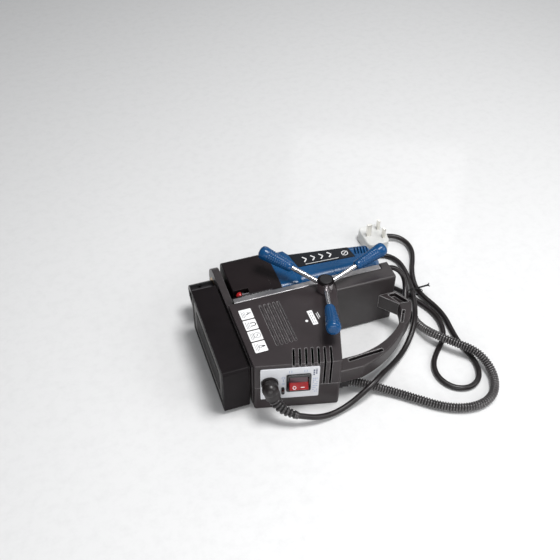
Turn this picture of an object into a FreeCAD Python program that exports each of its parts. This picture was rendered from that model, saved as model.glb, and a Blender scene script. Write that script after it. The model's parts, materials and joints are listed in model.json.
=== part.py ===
"""Magnetic drill press lying on its right side, one closed solid per sub-part.

Working axes: x runs up the machine from the magnet's pole face, y runs from the magnet's rear
end to the drill's front, z rises from the surface that the machine lies on. At the end every
part is moved so that the origin is the middle of the footprint. All lengths are in millimetres.
"""
import FreeCAD, Part
import math
import os

os.makedirs("parts", exist_ok=True)

V = FreeCAD.Vector
X_AXIS = V(1, 0, 0)
Y_AXIS = V(0, 1, 0)
Z_AXIS = V(0, 0, 1)

# ---------------------------------------------------------------- driving dimensions
WIDTH = 90.0                      # across the two side covers
MID = WIDTH / 2                   # the machine's plane of symmetry
SKIN = 3.0                        # thickness of the covers

MAGNET_LENGTH = 162.0
MAGNET_WIDTH = 80.0
MAGNET_HEIGHT = 36.0
POLE_SLOT_DEPTH = 26.0            # ring groove that holds the coil
POLE_SLOT_WIDTH = 13.0
POLE_RIM = 9.0                    # iron outside the groove

MAGNET_BOLTS = [(y, z) for y in (24.0, 140.0) for z in (MID - 24.0, MID + 24.0)]

FOOT_BOTTOM = 39.5
FOOT_TOP = 50.0
FOOT_WIDTH = 78.0
FOOT_FRONT = 214.0

COLUMN_REAR = 91.0
COLUMN_FRONT = 112.0
COLUMN_TOP = 288.0
COLUMN_BARE_FROM = 198.4          # above this height the covers no longer hide the column
STOP_BLOCK_FROM = 275.0

STRIP_FRONT = 121.0
STRIP_FROM = 50.0
STRIP_TO = 273.0
DOVETAIL_REAR_HALF = 35.0         # half width of the dovetail tongue at the column face
DOVETAIL_FRONT_HALF = 30.0
SLIDE_GAP = 0.1                   # running clearance of the slide in its strips

SLIDE_FROM = 60.0
SLIDE_TO = 188.0
SLIDE_FACE = STRIP_FRONT + 0.3    # rear face of the plate that carries the gearbox
SLIDE_SCREWS = [(x, z) for x in (68.0, 104.0) for z in (MID - 22.0, MID + 22.0)]
RACK_FROM = 94.0
RACK_TO = 192.0
RACK_HALF = 8.0
PINION_X = 179.5
PINION_Y = 98.0
RACK_MODULE = 1.25
PINION_TEETH = 15
PINION_BUSH_RADIUS = 10.6
PINION_SHAFT_RADIUS = 7.0
RACK_ADDENDUM = 0.8               # in modules
RACK_DEDENDUM = 1.05

ARBOR_Y = 188.0
ARBOR_NOSE_RADIUS = 17.0
ARBOR_BORE_RADIUS = 9.525         # 19.05 mm Weldon shank socket
ARBOR_BORE_DEPTH = 45.0
ARBOR_NOSE_FROM = 4.0
ARBOR_NOSE_TO = 52.0
MOTOR_Y = 165.0
FIRST_MODULE = 0.8                # motor pinion and layshaft wheel
FIRST_TEETH = (8, 36)
SECOND_MODULE = 1.0               # layshaft pinion and arbor wheel
SECOND_TEETH = (9, 36)
GEAR_PRESSURE = math.radians(25)
GEAR_ADDENDUM = 0.7               # in modules
GEAR_DEDENDUM = 0.9
ARBOR_BEARING_RADIUS = 15.0
UPPER_BEARING_RADIUS = 12.0
LAY_BEARING_RADIUS = 6.0
MOTOR_BEARING_RADIUS = 10.0

GEARBOX_FROM = 56.0
GEARBOX_TO = 112.0
ADAPTER_TO = 126.0
GEARBOX_REAR = 127.3
GEARBOX_FRONT = 212.0
GEARBOX_SIDE = 6.0                # from the machine's outer faces
GEARBOX_CORNER = 16.0
GEARBOX_FLOOR = 66.0
POCKET_TO = 78.0                  # corner pocket that holds the coolant inlet
ADAPTER_SCREWS = ((135.0, 14.0), (135.0, 76.0), (205.0, 22.0), (205.0, 68.0))
FLANGE_TO = 152.0
FLANGE_SECTION = (124.6, 208.0, 7.0, 83.0, 14.0)   # y from and to, z from and to, corner
MOTOR_BODY_FROM = 160.0
MOTOR_SPLIT = 212.0
MOTOR_TO = 286.0
MOTOR_TAPER_FROM = 278.0          # the last stretch narrows to a bevelled end
MOTOR_TAPER = 7.0
MOTOR_REAR = 131.0
MOTOR_BOTTOM = 11.0
MOTOR_TOP = 79.0
MOTOR_CORNER = 17.0
MOTOR_CABLE_Y = 152.0
MOTOR_SHAFT_RADIUS = 4.0
STATOR_RADIUS = 28.0
BRUSH_X = 234.0
BRUSH_CAP_RADIUS = 5.2
LABEL_RECESS = [(157.5, 193.5), (163.5, 163.0), (253.0, 158.0), (249.5, 181.0)]
LABEL_OUTLINE = [(157.9, 193.1), (163.8, 163.4), (252.6, 158.4), (249.2, 180.6)]
MOTOR_VENT_FROM = (257.5, 171.5)
MOTOR_VENT_STEP = (4.6, -0.9)
MOTOR_VENT_ANGLE = -14

COVER_LEFT_EDGE = 41.0
COVER_OUTLINE = [(COVER_LEFT_EDGE, COLUMN_FRONT), (COVER_LEFT_EDGE, -4.0), (153.0, -31.0),
                 (194.3, 89.4), (198.0, COLUMN_FRONT)]
COVER_SCREWS = ((60.0, 100.0), (125.0, 100.0), (47.0, 12.0))
GROOVES = 5                       # long grip grooves on the left cover
GROOVE_FROM = 82.0
GROOVE_PITCH = 6.5
GROOVE_Y = (22.5, 96.0)
GROOVE_RADIUS = 1.5
GROOVE_DEPTH = 1.6
VENTS = 7                         # vents that run over the rear edge, placed along the rear wall
VENT_FROM = 51.6
VENT_PITCH = 8.23
VENT_HALF = 1.4
VENT_RUN = 26.5                   # from the rear wall onto the left cover
VENT_LOW_Z = 34.0                 # lower end of the vents beside the panel
VENT_LEAN = -5.0                  # degrees that they turn on the left cover, from square to the wall
STRIP_SCREWS_X = (62.0, 115.0, 168.0, 221.0, 262.0)
STRIP_SCREW_EDGE = 6.0            # from the machine's outer face to a strip screw
HANDLE_SCREWS_Z = (MID - 7.0, MID + 7.0)
HANDLE_BOLT_X = 276.0             # bolt through the column into the handle's upper end
HANDLE_BOLT_SEAT = 101.0
HANDLE_HALF = 12.0                # half of the carry handle's width
HANDLE_POCKET_DEPTH = 8.0
LONG_SLOT = [(174.0, -10.5), (226.0, -8.0), (226.0, -3.0), (174.0, -5.5)]
SHORT_SLOT = [(287.5, 52.0), (284.0, 53.5), (271.0, 33.0), (274.0, 31.0)]
UPPER_POCKET = [(276.5, 88.5), (288.8, 88.5), (300.8, 65.5), (286.0, 67.0)]
HUB_RADIUS = 12.0
HUB_FROM = 90.6
HUB_TO = 109.0
SPOKE_ANGLES = (254.0, 14.0, 134.0)
SPOKE_TILT = 12.0                 # the feed handles lean away from the machine
SPOKE_HEIGHT = 97.6
SPOKE_SEAT = 8.0                  # from the hub's axis to the end of a rod
ROD_NECK_RADIUS = 3.0
ROD_RADIUS = 3.5
ROD_TO = 99.6
GRIP_FROM = 54.0
GRIP_STATIONS = [(0.0, 6.2), (3.0, 7.0), (26.0, 8.6), (44.0, 10.3), (49.0, 9.4), (52.0, 6.0)]
CAP_RADIUS = 9.0
CAP_SEAT = 4.0                    # depth of the cap's seat in the hub's top

PANEL_U = (8.0, 86.0)             # along the rear wall
PANEL_Z = (23.0, 84.0)
BEZEL_U = (42.0, 75.0)
BEZEL_Z = (38.5, 72.5)
ROCKER_TILT = -10.0               # the lower half stands out at rest
ROCKER_PIVOT_DEPTH = 2.0
BEZEL_WALL_U = 3.3                # from the bezel's outline to its well
BEZEL_WALL_Z = 3.7
GLAND_BORE = 7.1
GLAND_U = 20.0
GLAND_Z = 58.0
GLAND_REACH = 11.5                # from the panel to the middle of the gland's elbow
GLAND_RADIUS = 11.0
CONDUIT_GLAND_U = 24.0            # along the wall that the carry handle stands on
CONDUIT_GLAND_Z = 18.0
HANDLE_FOOT_U = 17.0

CORD_RADIUS = 4.0
CONDUIT_RADIUS = 6.5
RELIEF_ROUTE = [(60.5, -24, 45), (63.5, -29.5, 36), (69.5, -36, 29), (78, -42, 24), (88, -46.6, 20)]
RELIEF_RADII = (9.2, 8.7, 7.8, 6.8, 5.4)
CORD_ROUTE = [
    (88, -46.6, 20), (103, -50.6, 15), (118, -52, 10.5), (134, -51, 7.5), (150, -47.8, 7),
    (167, -43.5, 10), (185, -38.5, 17), (203, -32, 23), (222, -20, 23), (242, -6, 14), (264, 10, 7),
    (284, 26, 8), (301, 43, 15), (314, 62, 21), (324, 83, 21), (333, 104, 17), (342, 128, 11),
    (350, 152, 4.5), (354, 174, 4), (354, 196, 4), (344, 215, 4), (323, 222, 4), (303, 212, 4),
    (294, 191, 4), (301, 168, 4), (315, 149, 4), (327, 131, 6), (338, 112, 6), (349, 92, 4),
    (356, 68, 4), (354, 44, 4), (343, 22, 4), (322, 4, 4), (306, -16, 4), (302, -40, 4),
    (314, -62, 4), (336, -70, 4), (357, -60, 4), (367, -38, 4), (366, -12, 4), (362, 12, 4),
    (364, 38, 4), (367, 64, 4), (363, 89, 4), (354, 110, 6), (352, 132, 6), (358, 153, 4),
    (366, 174, 4), (377, 193, 4.5), (385, 211, 5), (386.5, 229, 6), (380, 243, 8), (369, 251.5, 9.8),
    (357, 254, 10.5)]
CONDUIT_ROUTE = [
    (174.4, -13.1, 18), (193, -20.5, 14.5), (214, -32, 9), (236, -47.5, 7), (259, -67, 6.8),
    (282, -86, 6.8), (308, -99, 6.8), (335, -102, 6.8), (359, -93, 6.8), (374, -73, 6.8),
    (379, -50, 9.5), (374, -30, 15.5), (362, -14, 19.5), (349, -1.5, 19.5), (336, 13.5, 19.5),
    (325, 30, 17), (320, 48, 11.5), (318, 66, 7.8), (318, 81, 7)]
MOTOR_CABLE_ROUTE = [
    (298, 152, 45), (312, 152, 45), (324, 147.5, 40), (331, 139, 31), (329.5, 127, 20.5),
    (322, 111.5, 12), (318.5, 96, 8.5), (318, 82.4, 7.1)]

TIE_Y = 120.8
TIE_STRANDS = [(332.4, 6.0), (352.9, 6.0), (339.6, 12.6)]   # the tied strands' middles, x and z
PLUG_SIZE = (40.0, 48.0, 21.0)
PLUG_CLEAR = 4.0                  # from the cord's end to the plug's flat side
PIN_ROOT_Z = 15.0
EARTH_PIN = (-34.0, 0.0, 4.0, 8.0, 44.5)           # x and y from the cord's end, width, length, top
LIVE_PINS = ((-12.0, -11.0, 6.3, 4.0, 39.5), (-12.0, 11.0, 6.3, 4.0, 39.5))

CORD_NODES = ("power_cord", "plug_body", "plug_pins", "cord_tie", "motor_conduit", "motor_cable",
              "cord_strain_relief")
nodes = {}


# ---------------------------------------------------------------- helpers
def box(x0, x1, y0, y1, z0, z1):
    return Part.makeBox(x1 - x0, y1 - y0, z1 - z0, V(x0, y0, z0))


def cylinder(start, direction, radius, length):
    return Part.makeCylinder(radius, length, start, direction)


def cylinder_x(x0, x1, y, z, radius):
    return cylinder(V(x0, y, z), X_AXIS, radius, x1 - x0)


def cylinder_z(x, y, z0, z1, radius):
    return cylinder(V(x, y, z0), Z_AXIS, radius, z1 - z0)


def ring_x(x0, x1, y, z, outer, inner):
    return cylinder_x(x0, x1, y, z, outer).cut(cylinder_x(x0 - 1, x1 + 1, y, z, inner))


def prism(corners, direction):
    """Straight prism over a closed outline of 3-D corners."""
    wire = Part.makePolygon(list(corners) + [corners[0]])
    return Part.Face(wire).extrude(direction)


def prism_z(points, z0, z1):
    return prism([V(x, y, z0) for x, y in points], V(0, 0, z1 - z0))


def fillet_along(shape, axis, radius, keep=None):
    """Round the straight edges parallel to axis; keep(edge middle) may narrow the choice."""
    edges = []
    for edge in shape.Edges:
        if edge.Curve.TypeId != "Part::GeomLine" or len(edge.Vertexes) != 2:
            continue
        run = edge.Vertexes[1].Point.sub(edge.Vertexes[0].Point).normalize()
        if abs(abs(run.dot(axis)) - 1) > 1e-6:
            continue
        if keep is None or keep(edge.CenterOfMass):
            edges.append(edge)
    return shape.makeFillet(radius, edges)


def fillet_where(shape, radius, keep):
    return shape.makeFillet(radius, [e for e in shape.Edges if keep(e.BoundBox)])


def rounded_bar_x(x0, x1, y0, y1, z0, z1, radius):
    """Bar along x with rounded corners."""
    return fillet_along(box(x0, x1, y0, y1, z0, z1), X_AXIS, radius)


def inset(points, distance):
    """Outline moved inwards by a distance; the points run anticlockwise."""
    count = len(points)
    lines = []
    for i in range(count):
        (x0, y0), (x1, y1) = points[i], points[(i + 1) % count]
        length = math.hypot(x1 - x0, y1 - y0)
        dx, dy = (x1 - x0) / length, (y1 - y0) / length
        lines.append((x0 - dy * distance, y0 + dx * distance, dx, dy))
    result = []
    for i in range(count):
        ax, ay, adx, ady = lines[i - 1]
        bx, by, bdx, bdy = lines[i]
        t = ((bx - ax) * bdy - (by - ay) * bdx) / (adx * bdy - ady * bdx)
        result.append((ax + adx * t, ay + ady * t))
    return result


def wall_frame(start, end):
    """Function that moves a shape from a wall's own axes to the working axes.

    In the wall's axes x runs along the wall, y points into the machine and z is unchanged.
    """
    angle = math.degrees(math.atan2(end[1] - start[1], end[0] - start[0]))

    def place(shape):
        moved = shape.copy()
        moved.rotate(V(0, 0, 0), Z_AXIS, angle)
        moved.translate(V(start[0], start[1], 0))
        return moved
    return place


on_rear_wall = wall_frame(COVER_OUTLINE[1], COVER_OUTLINE[2])
on_top_wall = wall_frame(COVER_OUTLINE[2], COVER_OUTLINE[3])


def wall_point(start, end, along, out, z):
    """Point on a wall, given along it and outwards from it."""
    length = math.hypot(end[0] - start[0], end[1] - start[1])
    dx, dy = (end[0] - start[0]) / length, (end[1] - start[1]) / length
    return V(start[0] + dx * along + dy * out, start[1] + dy * along - dx * out, z)


def screw(seat, direction, head_radius, head_height, shank_radius, shank_length):
    """Socket-head screw; its head stands on the seat and points along the direction."""
    head = Part.makeCylinder(head_radius, head_height)
    shank = Part.makeCylinder(shank_radius, shank_length, V(0, 0, -shank_length))
    key = [V(head_radius * 0.55 * math.cos(math.radians(60 * i)),
             head_radius * 0.55 * math.sin(math.radians(60 * i)), head_height * 0.4)
           for i in range(6)]
    body = head.fuse(shank).removeSplitter().cut(prism(key, V(0, 0, head_height)))
    body.Placement = FreeCAD.Placement(seat, FreeCAD.Rotation(Z_AXIS, direction))
    return body


def group(shapes):
    return Part.makeCompound(shapes)


def add(name, shape):
    if shape.ShapeType != "Solid" and len(shape.Solids) == 1:
        shape = shape.Solids[0]
    nodes[name] = shape


def gear_points(module, teeth, pressure, addendum, dedendum, thinning, tooth_at):
    """Involute outline; tooth_at is the angle in radians of one tooth's middle."""
    pitch = module * teeth / 2
    base = pitch * math.cos(pressure)
    tip = pitch + addendum * module
    root = pitch - dedendum * module
    half = math.pi / (2 * teeth) - thinning / (2 * pitch) + math.tan(pressure) - pressure
    flank_from = max(base, root)
    flank = []
    for i in range(6):
        radius = flank_from + (tip - flank_from) * i / 5
        roll = math.acos(min(1.0, base / radius))
        flank.append((radius, half - (math.tan(roll) - roll)))
    if root < base:
        flank.insert(0, (root, half))
    points = []
    for tooth in range(teeth):
        middle = tooth_at + 2 * math.pi * tooth / teeth
        points += [(r, middle - a) for r, a in flank]
        points += [(r, middle + a) for r, a in reversed(flank)]
    return points


def gear_x(x0, x1, y, z, outline):
    corners = [V(x0, y + r * math.cos(a), z + r * math.sin(a)) for r, a in outline]
    return prism(corners, V(x1 - x0, 0, 0))


def tube(name, route, radius):
    """Tube along straight runs joined by tangent arcs; prints its bends and its length."""
    points = [V(*p) for p in route]
    edges = []
    last = points[0]
    radii = []
    for i in range(1, len(points) - 1):
        before = points[i].sub(points[i - 1])
        after = points[i + 1].sub(points[i])
        short = min(before.Length, after.Length)
        turn = before.getAngle(after)
        cut = 0.45 * short
        radii.append(cut / math.tan(turn / 2))
        before.normalize()
        after.normalize()
        start = points[i].sub(before * cut)
        end = points[i].add(after * cut)
        bisector = after.sub(before).normalize()
        centre_distance = radii[-1] / math.cos(turn / 2)
        middle = points[i].add(bisector * (centre_distance - radii[-1]))
        edges.append(Part.LineSegment(last, start).toShape())
        edges.append(Part.Arc(start, middle, end).toShape())
        last = end
    edges.append(Part.LineSegment(last, points[-1]).toShape())
    path = Part.Wire(edges)
    heading = points[1].sub(points[0])
    section = Part.Wire(Part.Circle(points[0], heading, radius).toShape())
    solid = path.makePipeShell([section], True, False)
    expected = math.pi * radius ** 2 * path.Length
    print(name, "length %.0f" % path.Length, "volume ratio %.4f" % (solid.Volume / expected),
          "bends", [round(r) for r in radii])
    add(name, solid)


# ---------------------------------------------------------------- magnet base
def make_magnet():
    z0, z1 = MID - MAGNET_WIDTH / 2, MID + MAGNET_WIDTH / 2
    block = box(0, MAGNET_HEIGHT, 0, MAGNET_LENGTH, z0, z1)
    block = fillet_along(block, X_AXIS, 4.0)
    block = fillet_where(block, 1.5, lambda b: b.XMin > MAGNET_HEIGHT - 0.1)
    rim = POLE_RIM
    inner = POLE_RIM + POLE_SLOT_WIDTH

    def slot_ring(x0, x1, slack):
        outer = fillet_along(box(x0, x1, rim + slack, MAGNET_LENGTH - rim - slack,
                                 z0 + rim + slack, z1 - rim - slack), X_AXIS, 6.0)
        hole = fillet_along(box(x0 - 1, x1 + 1, inner - slack, MAGNET_LENGTH - inner + slack,
                                z0 + inner - slack, z1 - inner + slack), X_AXIS, 3.0)
        return outer.cut(hole)

    block = block.cut(slot_ring(-1, POLE_SLOT_DEPTH, 0))
    bolts = []
    for y, z in MAGNET_BOLTS:
        block = block.cut(cylinder_x(27.0, MAGNET_HEIGHT + 1, y, z, 3.05))
        bolts.append(screw(V(44.0, y, z), X_AXIS, 5.0, 5.5, 3.0, 16.0))
    add("magnet_housing", block)
    add("magnet_coil", slot_ring(4.0, POLE_SLOT_DEPTH, 0.4))
    add("magnet_filler", slot_ring(0.4, 4.0, 0.0))
    add("magnet_bolts", group(bolts))


# ---------------------------------------------------------------- stand casting and guides
def dovetail_bar(x0, x1, grow, front):
    """Tongue cross-section: wide at the column face, narrow at the front."""
    rear_half = DOVETAIL_REAR_HALF + grow
    front_half = DOVETAIL_FRONT_HALF + grow
    rear = COLUMN_FRONT
    corners = [V(x0, rear, MID - rear_half), V(x0, rear, MID + rear_half),
               V(x0, front, MID + front_half), V(x0, front, MID - front_half)]
    return prism(corners, V(x1 - x0, 0, 0))


def make_stand():
    z0, z1 = MID - FOOT_WIDTH / 2, MID + FOOT_WIDTH / 2
    foot = box(FOOT_BOTTOM, FOOT_TOP, 2.0, FOOT_FRONT, z0, z1)
    foot = fillet_along(foot, X_AXIS, 30.0, lambda p: p.y > FOOT_FRONT - 1)
    pad = box(MAGNET_HEIGHT, FOOT_BOTTOM, 10.0, MAGNET_LENGTH - 10.0, z0 + 9, z1 - 9)
    narrow = box(FOOT_TOP - 6, COLUMN_BARE_FROM + 2, COLUMN_REAR, COLUMN_FRONT, z0, z1)
    flange = box(FOOT_TOP - 6, COLUMN_BARE_FROM + 2, COLUMN_FRONT - 5, COLUMN_FRONT,
                 SKIN + 0.2, WIDTH - SKIN - 0.2)
    bare = prism_z([(194.9, COLUMN_REAR), (COLUMN_TOP, COLUMN_REAR), (COLUMN_TOP, COLUMN_FRONT),
                    (COLUMN_BARE_FROM, COLUMN_FRONT)], 1.0, WIDTH - 1.0)
    stop = box(STOP_BLOCK_FROM, COLUMN_TOP, COLUMN_FRONT - 1, STRIP_FRONT + 2, 1.0, WIDTH - 1.0)
    bare = bare.fuse(stop).removeSplitter()
    bare = fillet_where(bare, 2.5, lambda b: b.YMax < COLUMN_REAR + 0.1 and b.ZLength < 0.1)
    bare = fillet_where(bare, 1.2, lambda b: b.XMin > COLUMN_TOP - 0.1 and b.ZLength < 0.1
                        and b.YMax > COLUMN_REAR + 5)
    boss = box(166.0, 189.0, 85.0, COLUMN_REAR + 1, z0, z1)
    body = foot.fuse([pad, narrow, flange, bare, boss])
    for z in (MID - 28.0, MID + 28.0):
        body = body.fuse(prism([V(FOOT_TOP - 1, COLUMN_REAR + 1, z - 2), V(FOOT_TOP - 1, 56.0, z - 2),
                                V(96.0, COLUMN_REAR + 1, z - 2)], V(0, 0, 4.0)))
    body = body.removeSplitter()
    cuts = [cylinder_z(PINION_X, PINION_Y, -1, WIDTH + 1, PINION_BUSH_RADIUS),
            box(84.0, 268.0, 104.6, COLUMN_FRONT + 1, MID - 9.0, MID + 9.0),
            cylinder_x(FOOT_BOTTOM - 1, FOOT_TOP + 1, ARBOR_Y, MID, 21.0)]
    for y, z in MAGNET_BOLTS:
        cuts.append(cylinder_x(MAGNET_HEIGHT - 1, FOOT_TOP + 1, y, z, 3.2))
        cuts.append(cylinder_x(44.0, FOOT_TOP + 1, y, z, 5.4))
    for x in STRIP_SCREWS_X:
        for z in (STRIP_SCREW_EDGE, WIDTH - STRIP_SCREW_EDGE):
            cuts.append(cylinder(V(x, COLUMN_FRONT - 8, z), Y_AXIS, 2.05, 9))
    cuts.append(cylinder(V(HANDLE_BOLT_X, COLUMN_REAR - 1, MID), Y_AXIS, 2.55, 13))
    cuts.append(cylinder(V(HANDLE_BOLT_X, HANDLE_BOLT_SEAT, MID), Y_AXIS, 5.2, 30))
    for x, y in COVER_SCREWS:
        cuts.append(cylinder_z(x, y, 0, 18, 1.85))
    for cut in cuts:
        body = body.cut(cut)
    add("stand_frame", body)
    add("arbor_guide_bush", ring_x(FOOT_BOTTOM, FOOT_TOP, ARBOR_Y, MID, 21.0,
                                   ARBOR_NOSE_RADIUS + 0.08))


def make_strips():
    channel = dovetail_bar(STRIP_FROM - 1, STRIP_TO + 1, SLIDE_GAP, STRIP_FRONT)
    screws = []
    for name, edge, limit in (("guide_strip_right", 0.6, 14.0),
                              ("guide_strip_left", WIDTH, WIDTH - 16.0)):
        low, high = min(edge, limit), max(edge, limit)
        bar = box(STRIP_FROM, STRIP_TO, COLUMN_FRONT, STRIP_FRONT, low, high).cut(channel)
        bar = fillet_where(bar, 0.8, lambda b: b.ZLength < 0.1 and b.YLength < 0.1
                           and abs(b.ZMin - edge) < 0.1 and b.XLength > 50)
        z = STRIP_SCREW_EDGE if edge < MID else WIDTH - STRIP_SCREW_EDGE
        for x in STRIP_SCREWS_X:
            bar = bar.cut(cylinder(V(x, COLUMN_FRONT - 1, z), Y_AXIS, 2.05, 12))
            bar = bar.cut(cylinder(V(x, STRIP_FRONT - 2.8, z), Y_AXIS, 3.7, 4))
            screws.append(screw(V(x, STRIP_FRONT - 2.8, z), Y_AXIS, 3.5, 2.6, 2.0, 13.0))
        add(name, bar)
    add("guide_strip_screws", group(screws))


# ---------------------------------------------------------------- covers of the electrics box
def grip_slots():
    """Long grooves in the left cover and short vents over its rear edge."""
    cuts = []
    bottom = WIDTH - GROOVE_DEPTH
    for i in range(GROOVES):
        x = GROOVE_FROM + GROOVE_PITCH * i
        for y in GROOVE_Y:
            cuts.append(cylinder_z(x, y, bottom, WIDTH + 1, GROOVE_RADIUS))
        cuts.append(box(x - GROOVE_RADIUS, x + GROOVE_RADIUS, *GROOVE_Y, bottom, WIDTH + 1))
    for i in range(VENTS):
        u = VENT_FROM + VENT_PITCH * i
        low = PANEL_Z[1] + 1.5 if u < PANEL_U[1] + 2 else VENT_LOW_Z
        run = box(u - VENT_HALF, u + VENT_HALF, -1, VENT_RUN, WIDTH - SKIN - 1, WIDTH + 1)
        run.rotate(V(u, 0, 0), Z_AXIS, VENT_LEAN)
        cuts.append(on_rear_wall(run))
        cuts.append(on_rear_wall(box(u - VENT_HALF, u + VENT_HALF, -1, SKIN + 1, low, WIDTH - 1)))
    return cuts


def make_covers():
    inner = inset(COVER_OUTLINE, SKIN)
    holes = [on_rear_wall(box(BEZEL_U[0] + 2, BEZEL_U[1] - 2, -1, SKIN + 1,
                              BEZEL_Z[0] + 2.4, BEZEL_Z[1] - 2.4)),
             on_rear_wall(cylinder(V(GLAND_U, -1, GLAND_Z), Y_AXIS, GLAND_BORE, SKIN + 2)),
             on_top_wall(cylinder(V(CONDUIT_GLAND_U, -1, CONDUIT_GLAND_Z), Y_AXIS, GLAND_BORE,
                                  SKIN + 2))]
    for z in HANDLE_SCREWS_Z:
        holes.append(on_top_wall(cylinder(V(HANDLE_FOOT_U, -1, z), Y_AXIS, 2.55, SKIN + 2)))
    for name, z0, z1, skin0, skin1 in (("cover_left", MID, WIDTH, MID - 1, WIDTH - SKIN),
                                       ("cover_right", 0.0, MID, SKIN, MID + 1)):
        outside = WIDTH if name == "cover_left" else 0.0
        shell = prism_z(COVER_OUTLINE, z0, z1)
        shell = fillet_along(shell, Z_AXIS, 4.0, lambda p: p.y < -10 or
                             (p.y < 0 and p.x < COVER_LEFT_EDGE + 1))
        shell = fillet_where(shell, 1.2, lambda b: b.ZLength < 0.1 and abs(b.ZMin - outside) < 0.1)
        shell = shell.cut(prism_z(inner, skin0, skin1))
        shell = shell.cut(box(COVER_LEFT_EDGE - 1, 46.0, 0.5, 120.0, skin0, skin1))
        shell = shell.cut(box(COVER_LEFT_EDGE - 1, 205.0, COLUMN_REAR - 0.3, 120.0, skin0, skin1))
        for hole in holes:
            shell = shell.cut(hole)
        if name == "cover_left":
            for cut in grip_slots():
                shell = shell.cut(cut)
            shell = shell.cut(cylinder_z(PINION_X, PINION_Y, WIDTH - 5, WIDTH + 1, 9.0))
        else:
            for x, y in COVER_SCREWS:
                shell = shell.cut(cylinder_z(x, y, -1, SKIN + 1, 2.1))
                shell = shell.cut(cylinder_z(x, y, -1, 1.4, 4.0))
        add(name, shell)
    add("cover_screws", group([screw(V(x, y, 1.4), V(0, 0, -1), 3.4, 1.2, 1.8, 14.0)
                               for x, y in COVER_SCREWS]))


# ---------------------------------------------------------------- switch panel
def make_switch_panel():
    panel = box(PANEL_U[0], PANEL_U[1], -2, 0, PANEL_Z[0], PANEL_Z[1])
    panel = fillet_along(panel, Y_AXIS, 2.0)
    panel = panel.cut(box(BEZEL_U[0] + 2, BEZEL_U[1] - 2, -3, 1, BEZEL_Z[0] + 2.4, BEZEL_Z[1] - 2.4))
    panel = panel.cut(cylinder(V(GLAND_U, -3, GLAND_Z), Y_AXIS, GLAND_BORE, 4))
    add("switch_panel", on_rear_wall(panel))

    frame = box(BEZEL_U[0], BEZEL_U[1], -5, -2, BEZEL_Z[0], BEZEL_Z[1])
    frame = fillet_along(frame, Y_AXIS, 3.0)
    frame = fillet_where(frame, 1.0, lambda b: b.YMax < -4.9)
    barrel = box(BEZEL_U[0] + 2.2, BEZEL_U[1] - 2.2, -3, 20, BEZEL_Z[0] + 2.6, BEZEL_Z[1] - 2.6)
    well = box(BEZEL_U[0] + BEZEL_WALL_U, BEZEL_U[1] - BEZEL_WALL_U, -6, 18,
               BEZEL_Z[0] + BEZEL_WALL_Z, BEZEL_Z[1] - BEZEL_WALL_Z)
    pivot_z = (BEZEL_Z[0] + BEZEL_Z[1]) / 2
    axle_hole = cylinder(V(BEZEL_U[0] + 2.6, ROCKER_PIVOT_DEPTH, pivot_z), X_AXIS, 1.55,
                         BEZEL_U[1] - BEZEL_U[0] - 5.2)
    bezel = frame.fuse(barrel).removeSplitter().cut(well).cut(axle_hole)
    add("switch_bezel", on_rear_wall(bezel))

    half = (BEZEL_Z[1] - BEZEL_Z[0]) / 2 - 5.0
    u0, u1 = BEZEL_U[0] + 3.8, BEZEL_U[1] - 3.8
    profile = [V(u0, 5, -half + 1.5), V(u0, -9.5, -half + 0.5), V(u0, -5.5, 0), V(u0, -7.5, half),
               V(u0, 5, half - 1.5)]
    rocker = prism(profile, V(u1 - u0, 0, 0))
    rocker = fillet_where(rocker, 1.2, lambda b: b.YMax < -7.4 or b.YMax < -5.4 and b.ZLength > 5)
    rocker = rocker.fuse(cylinder(V(BEZEL_U[0] + 2.8, 0, 0), X_AXIS, 1.5,
                                  BEZEL_U[1] - BEZEL_U[0] - 5.6)).removeSplitter()
    rocker.rotate(V(0, 0, 0), X_AXIS, ROCKER_TILT)
    rocker.translate(V(0, ROCKER_PIVOT_DEPTH, pivot_z))
    add("switch_rocker", on_rear_wall(rocker))

    board = box(88.0, 153.0, 30.0, 84.0, 20.0, 21.6)
    parts = [box(96.0, 114.0, 40.0, 62.0, 21.6, 35.0), cylinder_z(130.0, 52.0, 21.6, 46.0, 9.0),
             box(122.0, 146.0, 66.0, 80.0, 21.6, 40.0), box(94.0, 112.0, 68.0, 76.0, 21.6, 31.0)]
    pillars = [cylinder_z(x, y, SKIN, 20.0, 3.0) for x in (92.0, 149.0) for y in (34.0, 80.0)]
    board = board.fuse(parts).fuse(pillars).removeSplitter()
    add("control_board", board)


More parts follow.
